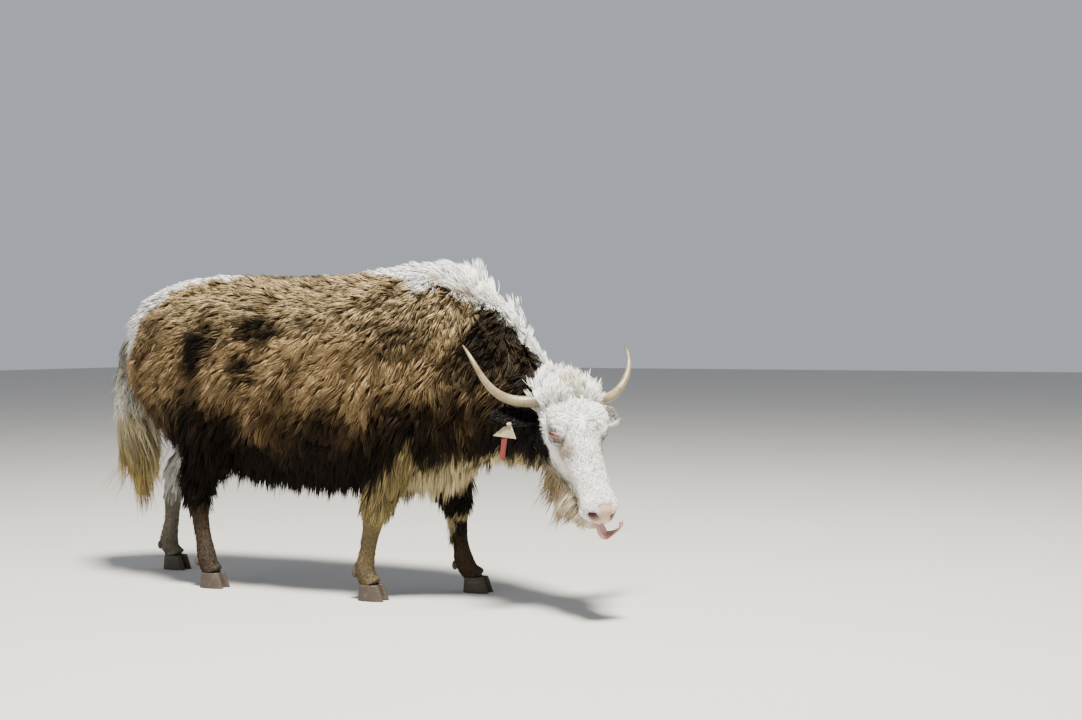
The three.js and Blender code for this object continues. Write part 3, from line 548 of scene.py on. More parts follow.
def face_skin(points, base):
    """Bare skin at the nose, lips and nostrils. The last column is how hairy it is."""
    x, y, z = from_head(points).T
    y = np.abs(y)
    edge = 478 - 22 * ramp(z, -48, -22)
    broad = np.interp(z, [-90, -54, -30], [48, 54, 30])
    pad = ramp(x - edge, -5, 5) * ramp(z, -98, -88) * (1 - ramp(y - broad, -5, 4))
    lips = ramp(x, 380, 400) * np.exp(-((z + 107) / 9) ** 2) * ramp(y, 8, 20)
    lips = np.maximum(lips, ramp(x, 476, 492) * (1 - ramp(z, -140, -130)) * 0.6)
    colour = over(base, PINK, np.maximum(pad, 0.8 * lips))
    pale = np.exp(-((np.hypot((y - 40) / 15, (z + 54) / 15) - 1.35) / 0.3) ** 2) * pad
    colour = over(colour, PALE_PINK, 0.7 * pale)
    inside = np.exp(-(((y - 39 + 0.5 * (z + 52)) / 18) ** 2 + ((z + 55) / 15) ** 2) ** 1.6)
    inside = inside * ramp(x, 430, 440)
    colour = over(colour, NOSTRIL_RED, np.clip(inside * 1.7, 0, 1))
    # dark red along the mouth: partly its own red, partly painted shadow of the upper lip in the crease
    mouth_and_shadow = np.exp(-((z + 108) / 7) ** 2) * ramp(x, 380, 405)
    colour = over(colour, MOUTH_RED_AND_SHADOW, 0.9 * mouth_and_shadow)
    bare = np.maximum.reduce([pad, lips, inside])
    return np.hstack([colour, 1 - bare[:, None]])


# SKIN
# One hide over body, head, lids and ears. It has the colour of the hair on it, dimmed on the body
# as painted shade between the hairs, and is bare and pink at the nose, the lips and the lids' edges.
LID_RED = np.array([0.3, 0.085, 0.065])
skin_points, skin_faces = together(shells)
owners = np.array(owners)
skin_colours = np.ones((len(skin_points), 4))
on_body = owners == "body"
some = skin_points[on_body]
forms = {"trunk": trunk, "neck": neck, "tail": tail, **legs}
nearest_form = np.stack([form.locate(some)[2] for form in forms.values()]).argmin(0)
hide = body_marking(some)
for i, name in enumerate(forms):
    mine = nearest_form == i
    if name == "tail":
        hide[mine] = tail_marking(some[mine])
    elif name in legs:
        hide[mine] = leg_marking(name, some[mine])
# the body's hide is dimmed to 0.7 of its hair's colour: painted shade between the hairs
skin_colours[on_body, :3] = hide * 0.7
on_head = owners == "head"
skin_colours[on_head] = face_skin(skin_points[on_head], head_marking(skin_points[on_head]))
on_lid = owners == "lid"
share = np.array(lid_share)
lid = over(head_marking(skin_points[on_lid]) * 0.8, LID_RED, 1 - ramp(share, 0.06, 0.2))
skin_colours[on_lid] = np.hstack([lid, ramp(share, 0.0, 0.3)[:, None]])
ears = owners == "ear"
right_ear = from_head(skin_points)[:, 1] < 0
skin_colours[ears & right_ear, :3] = BLACK
skin_colours[ears & ~right_ear, :3] = WHITE * (0.85, 0.8, 0.75)
skin = piece("skin", skin_points, skin_faces, skin_colours)
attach(skin, "root")
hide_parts("torso", "neck", "tail", "head", "muzzle", "lower_jaw", "ear_left", "ear_right",
            *[f"{name}_{half}" for name in legs for half in ("upper", "lower")])


class Shade:
    """One output of a material's nodes. Sums on it make more nodes in the same material."""

    def __init__(self, tree, socket=None):
        self.tree, self.socket = tree, socket

    def node(self, kind, settings=None, inputs=None, out=0):
        made = self.tree.nodes.new(kind)
        for key, value in (settings or {}).items():
            setattr(made, key, value)
        for key, value in (inputs or {}).items():
            if isinstance(value, Shade):
                self.tree.links.new(value.socket, made.inputs[key])
            else:
                made.inputs[key].default_value = value
        return Shade(self.tree, made.outputs[out] if made.outputs else None)

    def maths(self, operation, *values):
        return self.node("ShaderNodeMath", {"operation": operation}, dict(enumerate(values)))

    def __add__(self, other):
        return self.maths("ADD", self, other)

    def __sub__(self, other):
        return self.maths("SUBTRACT", self, other)

    def __rsub__(self, other):
        return self.maths("SUBTRACT", other, self)

    def __mul__(self, other):
        return self.maths("MULTIPLY", self, other)

    __radd__, __rmul__ = __add__, __mul__

    def between(self, low, high):
        settings = {"interpolation_type": "SMOOTHSTEP"}
        return self.node("ShaderNodeMapRange", settings, {0: self, 1: low, 2: high})

    def blend(self, first, second):
        """The first colour where this is 0, the second where it is 1."""
        first, second = (v if isinstance(v, Shade) else (*v, 1.0) for v in (first, second))
        return self.node("ShaderNodeMix", {"data_type": "RGBA"}, {0: self, 6: first, 7: second}, 2)

    def tint(self, colour):
        """This colour multiplied by another."""
        settings = {"data_type": "RGBA", "blend_type": "MULTIPLY"}
        return self.node("ShaderNodeMix", settings, {0: 1.0, 6: self, 7: colour}, 2)

    def noise(self, scale, detail=3.0, stretch=(1.0, 1.0, 1.0)):
        where = self.node("ShaderNodeTexCoord", out=3)
        where = self.node("ShaderNodeVectorMath", {"operation": "MULTIPLY"}, {0: where, 1: stretch})
        return self.node("ShaderNodeTexNoise", None, {"Vector": where, "Scale": scale, "Detail": detail})

    def bump(self, height, distance, strength):
        inputs = {"Height": height, "Distance": distance, "Strength": strength}
        return self.node("ShaderNodeBump", None, inputs)


def finish(name, make):
    """A procedural material. make is given a Shade and returns the shader's inputs."""
    made = bpy.data.materials.new(name)
    made.use_nodes = True
    tree = made.node_tree
    tree.nodes.clear()
    shade = Shade(tree)
    surface = shade.node("ShaderNodeBsdfPrincipled", None, make(shade))
    shade.node("ShaderNodeOutputMaterial", None, {"Surface": surface})
    return made


def hide_finish(s):
    colour = s.node("ShaderNodeVertexColor", {"layer_name": "marking"})
    hairy = s.node("ShaderNodeVertexColor", {"layer_name": "marking"}, out=1)
    fine, pores = s.noise(420.0), s.noise(150.0, 2.0)
    height = fine * 0.5 + pores * (1 - hairy)
    return {
        "Base Color": colour.tint((pores * 0.5 + 0.72).blend((0, 0, 0), (1, 1, 1))),
        "Roughness": hairy * 0.45 + 0.38 + fine * 0.1,
        "Normal": s.bump(height, 0.0014, 0.7),
        "Subsurface Weight": 0.08,
        "Subsurface Scale": 0.01,
    }


skin.data.materials.append(finish("hide", hide_finish))

# COAT
# Solid tufts of hair set over the hide and lying the way it grows. Each has its root just
# under the skin; neighbours gather into locks, and a lock overlaps those behind it.
rng = np.random.default_rng(11)


def hair_finish(s):
    colour = s.node("ShaderNodeVertexColor", {"layer_name": "marking"})
    fine = s.noise(260.0)
    return {
        "Base Color": colour.tint((fine * 0.3 + 0.85).blend((0, 0, 0), (1, 1, 1))),
        "Roughness": fine * 0.2 + 0.5,
        "Normal": s.bump(s.noise(900.0, 2.0), 0.0005, 0.5),
        "Specular IOR Level": 0.08,
    }


hair = finish("hair", hair_finish)


def normals(points, faces):
    corner = points[faces]
    flat = np.cross(corner[:, 1] - corner[:, 0], corner[:, 2] - corner[:, 0])
    total = np.zeros_like(points)
    for k in range(3):
        np.add.at(total, faces[:, k], flat)
    return unit(total)


SKINS = {
    "body": (body_points, body_faces),
    "head": together([(head_points, head_faces), shells[2], shells[3]]),
    "ear": together([shells[4], shells[5]]),
}
GROUNDS, SMOOTH = {}, {}
for key, (points, faces) in SKINS.items():
    GROUNDS[key] = BVHTree.FromPolygons(points.tolist(), faces.tolist())
    SMOOTH[key] = normals(points, faces)


def on_ground(ground, points):
    """The nearest place on the skin to each point, and the way out of it there."""
    tree = GROUNDS[ground]
    hits = [tree.find_nearest(p) for p in points.tolist()]
    places = np.array([hit[0] for hit in hits])
    faces = np.array([hit[2] for hit in hits])
    corner = SKINS[ground][0][SKINS[ground][1][faces]]
    weights = 1 / (np.linalg.norm(corner - places[:, None], axis=2) + 1)
    return places, unit((SMOOTH[ground][SKINS[ground][1][faces]] * weights[:, :, None]).sum(1))


def without_buried(parts, points, ground, centre, reach):
    """The names of the points' parts, but none where another skin covers the point."""
    close = np.linalg.norm(points - centre, axis=1) < reach
    place, out = on_ground(ground, points[close])
    parts[close] = np.where(dot(points[close] - place, out)[:, 0] < -4, "none", parts[close])
    return parts


def eye_gap(points):
    """How far outside the slit of the lids a place is: 1 at their bare edge, 3 at the brow."""
    spot = from_head(points) * (1, 0, 1) - EYE * (1, 0, 1)
    gap = np.hypot(spot @ SLIT / 27, spot @ LID / 8)
    return np.where(np.abs(from_head(points)[:, 1]) > 60, gap, 9)


# No hair grows where one skin lies under the other, on the nose and lips, on the lids' edges
# and on the face behind the lids.
NECK_REACH = 330
body_parts = np.array(list(forms))[nearest_form]
PARTS = {"body": without_buried(body_parts, body_points, "head", POLL, NECK_REACH)}
face_points = SKINS["head"][0]
jaw_near = jaw.locate(face_points)[2] < skull.locate(face_points)[2]
head_parts = np.where(jaw_near, "jaw", "skull")
spot = from_head(face_points) * (1, 0, 1) - EYE * (1, 0, 1)
behind_lids = np.hypot(spot @ SLIT / 47, spot @ LID / 35) < 1
behind_lids &= np.abs(from_head(face_points)[:, 1]) > 60
behind_lids[len(head_points):] = False
bare = face_skin(face_points, face_points * 0)[:, 3] < 0.5
head_parts[behind_lids | bare | (eye_gap(face_points) < 1)] = "none"
PARTS["head"] = without_buried(head_parts, face_points, "body", POLL, NECK_REACH)
# a root's row is its place, then its share of the form's length and its angle round it
SHARE, ANGLE = 3, 4


def sown(ground, part, spacing):
    """Roots spread evenly over one part of a skin, with each one's share and angle there."""
    points, faces = SKINS[ground]
    corner = points[faces[PARTS[ground][faces[:, 0]] == part]]
    area = np.linalg.norm(np.cross(corner[:, 1] - corner[:, 0], corner[:, 2] - corner[:, 0]), axis=1) / 2
    corner = np.repeat(corner, np.floor(area / spacing**2 + rng.random(len(area))).astype(int), axis=0)
    a, b = rng.random((2, len(corner), 1))
    a, b = np.where(a + b > 1, 1 - a, a), np.where(a + b > 1, 1 - b, b)
    roots = corner[:, 0] * (1 - a - b) + corner[:, 1] * a + corner[:, 2] * b
    t, degrees, _ = {"skull": skull, "jaw": jaw, **forms}[part].locate(roots)
    return np.column_stack([roots, t, degrees])


def from_top(seeds):
    return np.abs((seeds[:, ANGLE] + 90) % 360 - 180)


def coat(name, seeds, lie, marking, *, spacing, length, width, lift, lock, pull, droop=0.0, hug=0.4, rings=2,
         ground="body", twist=0.25, tip=1.35, root=0.5, thick=0.45, vary=0.2, sink=4.0, slot="coat_brown"):
    """One piece of coat, a tuft at each root. lie gives each root's way; lift is how far the tip
    stands off the skin, lock the size of a lock and pull how far its tufts lean together. Length,
    lift and droop may vary by root, and tip and root are their tones."""
    place, out = on_ground(ground, seeds[:, :3])
    count = len(place)
    length, width, lift, droop, tip = (np.broadcast_to(np.asarray(v, float), count)
                                       for v in (length, width, lift, droop, tip))
    leaders = rng.choice(count, max(1, int(count * (spacing / lock) ** 2)), replace=False)
    tree = KDTree(len(leaders))
    for i, p in enumerate(place[leaders].tolist()):
        tree.insert(p, i)
    tree.balance()
    mine = np.array([tree.find(p)[1] for p in place.tolist()])
    own = leaders[mine]
    each = rng.normal(0, 1, (len(leaders), 4))[mine]
    way = unit(lie(place) - out * dot(lie(place), out))
    turn = (twist * (each[:, 0] * 0.6 + ripple(place, 110, 21)) + 0.08 * rng.normal(0, 1, count))[:, None]
    way = way * np.cos(turn) + np.cross(out, way) * np.sin(turn)
    length = length * np.clip(1 + 0.14 * each[:, 1] + 0.14 * rng.normal(0, 1, count), 0.5, 1.5)
    uneven = 1 + 0.4 * each[:, 2] + 0.3 * rng.normal(0, 1, count) + 0.5 * ripple(place, 60, 33)
    lift = lift * np.clip(uneven, 0.2, 2.4)
    line = [place - out * sink]
    spot = place
    for k in range(1, rings + 1):
        share = k / rings
        fall = np.clip(droop * share, 0, 1)[:, None]
        step = unit(unit(way + out * (0.25 * lift / length)[:, None]) * (1 - fall) + fall * (0, 0, -1))
        spot = spot + step * (length / rings)[:, None]
        base, up = on_ground(ground, spot)
        gap = dot(spot - base, up)
        want = (lift * share**0.8)[:, None]
        spot = spot + up * np.where(gap < want, want - gap, (want - gap) * hug * (1 - fall))
        line.append(spot)
    line = np.array(line)
    for k in range(1, rings + 1):
        share = pull * (k / rings) ** 1.2
        line[k] += share * (line[k][own] - line[k])
    wave = rng.normal(0, 0.025, count) * length
    line[1] += np.cross(out, way) * wave[:, None]
    width = width * rng.uniform(0.8, 1.25, count)
    points = []
    for k in range(rings):
        ahead = unit(line[k + 1] - line[max(k - 1, 0)])
        side = unit(np.cross(ahead, out))
        up = np.cross(side, ahead)
        size = (width * (0.85, 1.0, 0.8)[k])[:, None]
        points += [line[k] - side * size / 2, line[k] + side * size / 2, line[k] + up * size * thick]
    points = np.stack(points + [line[rings]], 1)
    per = 3 * rings + 1
    faces = [[0, 2, 1]]
    for k in range(rings - 1):
        for a, b in ((0, 1), (1, 2), (2, 0)):
            faces += [[3 * k + a, 3 * k + b, 3 * k + 3 + b], [3 * k + a, 3 * k + 3 + b, 3 * k + 3 + a]]
    top = 3 * (rings - 1)
    faces += [[top, top + 1, per - 1], [top + 1, top + 2, per - 1], [top + 2, top, per - 1]]
    faces = (np.array(faces)[None] + (np.arange(count) * per)[:, None, None]).reshape(-1, 3)
    shade = (1 + vary * (each[:, 3] + 0.5 * rng.normal(0, 1, count))).clip(0.45, 1.6)
    colour = marking(place) * shade[:, None]
    shares = np.repeat(np.arange(rings + 1) / rings, [3] * rings + [1])
    tone = root + (tip[:, None] - root) * shares**0.9
    colours = np.clip(colour[:, None] * tone[:, :, None], 0.002, 0.86).reshape(-1, 3)
    around, along = (seeds[:, ANGLE] + 90) % 360, seeds[:, SHARE]
    u, v = ((value - value.min()) / np.ptp(value) for value in (around, along))
    patch = np.array([[-1, 0], [1, 0], [0, 0.3]] * rings + [[0, 0]], float)
    patch[:, 1] += shares * 2 - 1
    spots = 0.004 + 0.992 * np.stack([u, v], 1)[:, None] + patch * 0.0013
    made = piece(name, points.reshape(-1, 3), faces, colours, spots.reshape(-1, 2).clip(0.001, 0.999))
    made.data.materials.append(hair)
    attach(made, "root")


# BACK, FLANKS AND NECK
# Wool under tufts of 50 to 80 mm. Below them the belly's skirt hangs free, and the neck's long
# wool sweeps down and back to thick cream hair under the brisket.
def flank_lie(p):
    rump = np.clip((-600 - p[:, 0]) / 300, 0, 1)
    shoulder = np.clip((p[:, 0] - 50) / 400, 0, 1)
    drop = np.clip((1240 - p[:, 2]) / 780, 0, 1)
    back = 0.8 - 0.5 * rump - 0.45 * shoulder
    return np.stack([-back, np.zeros(len(p)), -(0.4 + drop + 0.5 * rump + 0.3 * shoulder)], 1)


def neck_lie(p):
    return np.tile([-0.5, 0, -0.85], (len(p), 1))


flank = sown("body", "trunk", 7.0)
skirt = sown("body", "trunk", 9.0)
skirt = skirt[(from_top(skirt) > 115) & (skirt[:, SHARE] > 0.14)]
neck_seeds = sown("body", "neck", 7.2)
for side, way in (("right", -1), ("left", 1)):
    for part, low, high in (("rear", -1, 0.36), ("middle", 0.36, 0.68), ("front", 0.68, 2)):
        seeds = flank[(flank[:, 1] * way > 0) & (flank[:, SHARE] >= low) & (flank[:, SHARE] < high)]
        drop = from_top(seeds)
        coat(f"coat_{part}_{side}", seeds, flank_lie, body_marking, spacing=7.0, width=4.5, lock=19, pull=0.5,
             length=46 + 30 * ramp(drop, 20, 110), lift=9 + 17 * ramp(drop, 0, 50), twist=0.38)
    # Belly skirt: longer, hanging free of the belly
    seeds = skirt[skirt[:, 1] * way > 0]
    drop = from_top(seeds)
    coat(f"coat_skirt_{side}", seeds, flank_lie, body_marking, spacing=9.0, width=5.6, lock=24, pull=0.62,
         length=105 + 45 * ramp(drop, 120, 160), lift=24, droop=0.3 + 0.6 * ramp(drop, 118, 160),
         hug=0.1, rings=3, tip=1.6)
    # Neck: long wool swept down and back, and thick cream hair under the brisket
    seeds = neck_seeds[np.cos(np.radians(neck_seeds[:, ANGLE])) * way > 0]
    drop = from_top(seeds)
    coat(f"coat_neck_{side}", seeds, neck_lie, body_marking, spacing=7.2, width=4.6, lock=22, pull=0.6,
         length=58 + 42 * ramp(drop, 60, 150), lift=20, droop=0.25 + 0.5 * ramp(drop, 110, 160),
         hug=0.2, rings=3, twist=0.4)

# MANE
# White hair standing in spikes along the hump and the top of the neck. It grows only where
# the hide under it is white.
MANE_HAIR = dict(spacing=6.4, width=4.0, hug=0, lock=20, pull=0.6, rings=3, twist=0.5, tip=1.05,
                 root=0.85, vary=0.1, slot="coat_white")


def on_white(seeds):
    return body_marking(seeds[:, :3])[:, 0] > 0.4


def hump_lie(p):
    return np.tile([-0.7, 0, -0.2], (len(p), 1))


def mane_lie(p):
    return np.tile([-0.5, 0, 0.4], (len(p), 1))


seeds = sown("body", "trunk", 6.4)
seeds = seeds[(seeds[:, SHARE] > 0.66) & (from_top(seeds) < 34) & on_white(seeds)]
lean = ramp(seeds[:, SHARE], 0.8, 0.96)
coat("coat_hump", seeds, hump_lie, body_marking, length=60 + 14 * lean, lift=16 + 24 * lean, **MANE_HAIR)
seeds = sown("body", "neck", 6.4)
seeds = seeds[(from_top(seeds) < 38) & on_white(seeds)]
high = 1 - ramp(seeds[:, SHARE], 0.3, 0.75)
coat("coat_mane", seeds, mane_lie, body_marking, length=56 + 16 * high, lift=24 + 20 * high, **MANE_HAIR)


# TAIL
# A full switch of long hair from the root to the hocks, white over gold. On its fore side
# the hair stands off the tail, towards the thighs.
def tail_lie(p):
    return np.stack([np.where(p[:, 2] > 960, -0.1, 0.28), 0 * p[:, 0], -np.ones(len(p))], 1)


seeds = sown("body", "tail", 6.2)
facing = on_ground("body", seeds[:, :3])[1][:, 0]
fore_side = ramp(np.sin(np.radians(seeds[:, ANGLE])), -0.2, 0.8) * ramp(facing, -0.2, 0.4)
coat("coat_tail", seeds, tail_lie, tail_marking, spacing=6.2, width=4.2, hug=0.2, lock=22, pull=0.4, rings=3,
     length=130 + 100 * ramp(seeds[:, SHARE], 0.35, 0.75),
     lift=7 + 90 * fore_side * ramp(seeds[:, SHARE], 0.2, 0.45),
     droop=0.35, twist=0.2, tip=1.2, root=0.6, slot="coat_white")


# LEGS
# Long hair over the thighs and elbows, down to the hocks and knees. Below it is short and
# close, feathered behind, most of all at the left knee.
def leg_lie(p):
    return np.tile([-0.3, 0, -1.0], (len(p), 1))


for name in legs:
    marking = partial(leg_marking, name)
    knee = 0.54 if name.startswith("hind") else 0.42
    seeds = sown("body", name, 7.6)
    seeds = seeds[seeds[:, SHARE] < knee]
    low = ramp(seeds[:, SHARE], 0.25, knee)
    coat(f"coat_{name}_upper", seeds, leg_lie, marking, spacing=7.6, length=112 - 50 * low, width=4.8,
         lift=(32 if name == "hind_right" else 20) - 11 * low, droop=0.3, hug=0.2, lock=22, pull=0.6,
         rings=3, slot="coat_brown" if name != "hind_left" else "coat_cream")
    seeds = sown("body", name, 4.4)
    seeds = seeds[(seeds[:, SHARE] > knee - 0.02) & (seeds[:, SHARE] < 0.985)]
    high = 1 - ramp(seeds[:, SHARE], knee, knee + 0.15)
    behind = ramp(np.cos(np.radians(seeds[:, ANGLE] - 270)), 0.3, 0.95)
    at_knee = ramp(seeds[:, 2], 200, 240) * (1 - ramp(seeds[:, 2], 340, 380))
    feather = behind * at_knee * (name == "fore_left")
    coat(f"coat_{name}_lower", seeds, leg_lie, marking, spacing=4.4, width=2.5, droop=0.1, hug=0.8, lock=10,
         pull=0.2, length=17 + 26 * high + 14 * behind + 30 * feather, lift=1.4 + 4 * behind + 16 * feather,
         tip=1.1, root=0.85, thick=0.35, vary=0.12, slot="coat_cream")


# HEAD HAIR
# Close white hair on the face, lying up the brow and down the nose from a whorl between the
# eyes, long on the poll and under the jaw, and black on the right ear.
def face_lie(points):
    x, y, _ = from_head(points).T
    down_face = ramp(x, 90, 190) * 2 - 1
    return np.stack([down_face, 0.5 * np.sign(y) * (1 - np.abs(down_face)), -0.35 - 0 * x], 1) @ HEAD


face_seeds = sown("head", "skull", 4.2)
on_top = face_seeds[:, ANGLE] > 0
for part, chosen in (("brow", on_top), ("cheek", ~on_top)):
    seeds = face_seeds[chosen]
    gap = eye_gap(seeds[:, :3])
    upper = 1 - ramp(seeds[:, SHARE], 0.1, 0.42)
    below = ramp(-np.sin(np.radians(seeds[:, ANGLE])), 0.1, 0.8) * (1 - ramp(seeds[:, SHARE], 0.55, 0.85))
    small = 0.35 + 0.65 * ramp(gap, 1, 4)
    coat(f"coat_{part}", seeds, face_lie, head_marking, spacing=4.2, width=3.5 * small, hug=0.9, lock=10,
         pull=0.06, length=(24 + 15 * upper + 42 * below) * small, lift=0.5 + 7 * upper + 11 * below,
         ground="head", tip=1.0, root=0.98, thick=0.08, twist=0.15, vary=0.03, sink=0.9, slot="coat_white")


# The beard's white is dimmed to tan: painted shade under the jaw.
def beard_shaded_marking(points):
    return head_marking(points) * (0.76, 0.69, 0.54)


def beard_lie(points):
    side = np.sign(from_head(points)[:, 1:2])
    return HEAD[2] * -0.8 + side * HEAD[1] * 0.1 + HEAD[0] * 0.12 + np.array([0.0, 0.0, -0.2])


def crown_lie(points):
    return np.tile([-0.15, 0.05, 1], (len(points), 1))


seeds = sown("head", "jaw", 4.0)
seeds = seeds[seeds[:, SHARE] < 0.94]
under = ramp(-np.sin(np.radians(seeds[:, ANGLE])), 0.1, 0.8)
far_back = 1 - 0.78 * ramp(seeds[:, SHARE], 0.3, 0.92)
coat("coat_beard", seeds, beard_lie, beard_shaded_marking, spacing=4.0, width=3.0, ground="head",
     length=(128 - 62 * under) * far_back, lift=(9 + 86 * under) * far_back, droop=0.25, hug=0, lock=15,
     pull=0.2, rings=3, twist=0.12, tip=1.0, root=0.84, vary=0.08, sink=2.0, slot="coat_white")
seeds = sown("head", "skull", 4.4)
seeds = seeds[(seeds[:, SHARE] < 0.2) & (np.abs(seeds[:, ANGLE] - 90) < 88)]
coat("coat_crown", seeds, crown_lie, head_marking, spacing=4.4, width=2.5, length=48, lift=32, hug=0, lock=12,
     pull=0.45, rings=3, ground="head", twist=0.5, tip=1.05, root=0.92, vary=0.07, slot="coat_white")


def ear_marking(points):
    return np.where(from_head(points)[:, 1:2] < 0, BLACK, WHITE * (0.9, 0.87, 0.82))


def ear_lie(points):
    return np.sign(from_head(points)[:, 1:2]) * HEAD[1] + np.array([0.1, -0.1, -0.35])


EAR_TUFTS = 2600
ear_t = rng.uniform(0.05, 0.98, EAR_TUFTS)
ear_v = rng.uniform(-1, 1, EAR_TUFTS)
ear_side = np.where(rng.random(EAR_TUFTS) < 0.5, 1, -1)
behind = np.where(rng.random(EAR_TUFTS) < 0.72, 1.0, 0.0)
seeds = np.column_stack([ear_spots(ear_side, ear_t, ear_v, behind), ear_t, ear_side * 60 + ear_v * 40])
coat("coat_ears", seeds, ear_lie, ear_marking, spacing=8.0, length=30, width=4.0, lift=7, droop=0.25, lock=16,
     pull=0.5, ground="ear", tip=1.5, vary=0.1, slot="coat_black")

# EYES
# Balls set in the sockets behind the nearly closed lids: a brown iris with a level pupil on
# a reddish white, all of it wet.
EYE_RADIUS = 19
for side_name, side in (("left", 1), ("right", -1)):
    points, faces = ball([0, 0, 0], [EYE_RADIUS] * 3, 48)
    made = piece(f"eyeball_{side_name}", in_head(points + EYE * (1, side, 1)), faces)
    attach(made, "root")
    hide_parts(f"eye_{side_name}")
    middle = in_head([EYE * (1, side, 1) + (0, side * EYE_RADIUS, 0)])[0] / 1000 + SHIFT

    def eye_finish(s, middle=middle):
        where = s.node("ShaderNodeTexCoord", out=3)
        away = s.node("ShaderNodeVectorMath", {"operation": "DISTANCE"}, {0: where, 1: tuple(middle)}, 1)
        iris = 1 - away.between(0.0105, 0.0125)
        pupil = 1 - away.between(0.0035, 0.0048)
        streaks = s.noise(700.0, 2.0)
        white = streaks.blend((0.16, 0.08, 0.06), (0.3, 0.16, 0.13))
        brown = streaks.blend((0.03, 0.013, 0.006), (0.1, 0.05, 0.02))
        return {
            "Base Color": pupil.blend(iris.blend(white, brown), (0.003, 0.003, 0.004)),
            "Roughness": streaks * 0.05 + 0.05,
            "Coat Weight": 1.0,
        }

    made.data.materials.append(finish(f"eye_{side_name}_wet", eye_finish))

# HORNS
# Hollow sheaths of horn over bone: out, then up to the tips, ringed at the root, grey
# there and olive cream above.
ROOT_RADIUS, TIP_RADIUS = 23, 3
for side_name, side in (("left", 1), ("right", -1)):
    ends = np.array([
        [35, side * 75, -30], [3, side * 267, -171], [-65, side * 324, -11], [-224, side * 340, -73],
    ])
    u = np.linspace(0, 1, 400)[:, None]
    path = (1 - u) ** 3 * ends[0] + 3 * u * (1 - u) ** 2 * ends[1]
    path = path + 3 * u * u * (1 - u) * ends[2] + u**3 * ends[3]
    run = np.concatenate([[0], np.cumsum(np.linalg.norm(np.diff(path, axis=0), axis=1))])
    share = np.linspace(0, 1, 130)
    line = np.stack([np.interp(share * run[-1], run, path[:, k]) for k in range(3)], 1)
    along = unit(np.gradient(line, axis=0))
    across = unit(np.array([1.0, 0, 0]) - along * along[:, :1])
    up = np.cross(along, across)
    radius = ROOT_RADIUS + (TIP_RADIUS - ROOT_RADIUS) * share**1.4
    ringed = 1 + 0.022 * np.sin(share * 150 + 2 * np.sin(share * 31)) * (1 - ramp(share, 0.12, 0.5))
    radius = radius * ringed * np.sqrt(np.clip((1.004 - share) / 0.012, 0.05, 1))
    angles = np.linspace(0, 2 * math.pi, 36, endpoint=False)
    rings = [in_head(c + r * (np.cos(angles)[:, None] * a + 0.93 * np.sin(angles)[:, None] * b))
             for c, r, a, b in zip(line, radius, across, up)]
    points, faces = closed(rings)
    tone = np.concatenate([np.repeat(share, 36), [0.0, 1.0]])
    made = piece(f"horn_sheath_{side_name}", points, faces, np.stack([tone] * 3, 1))
    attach(made, "root")
    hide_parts(f"horn_{side_name}")

    def horn_finish(s):
        tone = s.node("ShaderNodeVertexColor", {"layer_name": "marking"})
        share = s.node("ShaderNodeSeparateColor", None, {0: tone})
        grain, cloud = s.noise(260.0, 4.0), s.noise(28.0, 3.0)
        base = (share + cloud * 0.2).between(0.1, 0.4)
        colour = base.blend((0.07, 0.058, 0.042), (0.24, 0.195, 0.115))
        colour = (cloud + grain * 0.3).between(0.55, 0.9).blend(colour, (0.16, 0.09, 0.033))
        colour = share.between(0.86, 1.0).blend(colour, (0.1, 0.075, 0.045))
        return {
            "Base Color": colour,
            "Roughness": grain * 0.25 + 0.25,
            "Normal": s.bump(grain + cloud, 0.0012, 0.6),
            "Subsurface Weight": 0.06,
            "Subsurface Scale": 0.006,
        }

    made.data.materials.append(finish(f"horn_{side_name}_sheath", horn_finish))

# HOOVES
# Walls of dark horn round two claws to a foot, ringed as they grew and flat underneath, with
# two dewclaws behind each fetlock.
HOOF_HEIGHT, CLAW_SPREAD = 60, 23.5
hoof_places = {
    "fore_right": (238, -165, 208), "fore_left": (518, 165, 466),
    "hind_right": (-492, -165, -522), "hind_left": (-930, 165, -965),
}


def hoof_finish(s):
    rings = s.noise(30.0, 4.0, (0.6, 0.6, 14.0))
    dirt = s.noise(60.0)
    colour = rings.blend((0.018, 0.015, 0.012), (0.085, 0.066, 0.048))
    return {
        "Base Color": dirt.between(0.52, 0.8).blend(colour, (0.1, 0.078, 0.052)),
        "Roughness": dirt * 0.3 + 0.45,
        "Specular IOR Level": 0.3,
        "Normal": s.bump(rings, 0.0016, 0.8),
    }


def squared(v):
    """A sine or cosine drawn out, for an outline squarer than an ellipse."""
    return np.sign(v) * np.abs(v) ** 0.75


hoof_horn = finish("hoof_horn", hoof_finish)
turn = np.linspace(0, 2 * math.pi, 40, endpoint=False)
toe = np.clip(np.cos(turn), 0, 1)
for name, (x, y, fetlock) in hoof_places.items():
    for part, way in (("outer", math.copysign(1, y)), ("inner", -math.copysign(1, y))):
        middle = y + way * CLAW_SPREAD
        rings = []
        for high in (0.0, 0.03, 0.12, 0.25, 0.4, 0.55, 0.7, 0.85, 0.95, 1.0):
            front = 61 * (1 - 0.38 * high) + 0.5 * math.sin(high * 40)
            back = 45.5 * (1 - 0.1 * high)
            wide = 19.8 * (1 - 0.1 * high) * (1 if high > 0.02 else 0.985)
            along = np.where(np.cos(turn) > 0, front, back) * squared(np.cos(turn))
            across = wide * squared(np.sin(turn)) * (1 - 0.25 * toe)
            # each claw's toe turns in a little towards the other
            turned_in = -way * 5 * toe ** 2 * 0.4
            height = np.full(len(turn), high * HOOF_HEIGHT)
            rings.append(np.stack([x + along, middle + across + turned_in, height], 1))
        made = piece(f"hoof_{name}_{part}", *closed(rings))
        made.data.materials.append(hoof_horn)
        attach(made, "root")
        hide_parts(f"{name}_claw_{part}")
        made = piece(f"spur_{name}_{part}", *ball([fetlock - 36, y + way * 17, 102], [12, 11, 19], 20))
        made.data.materials.append(hoof_horn)
        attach(made, "root")
        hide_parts(f"{name}_dewclaw_{part}")

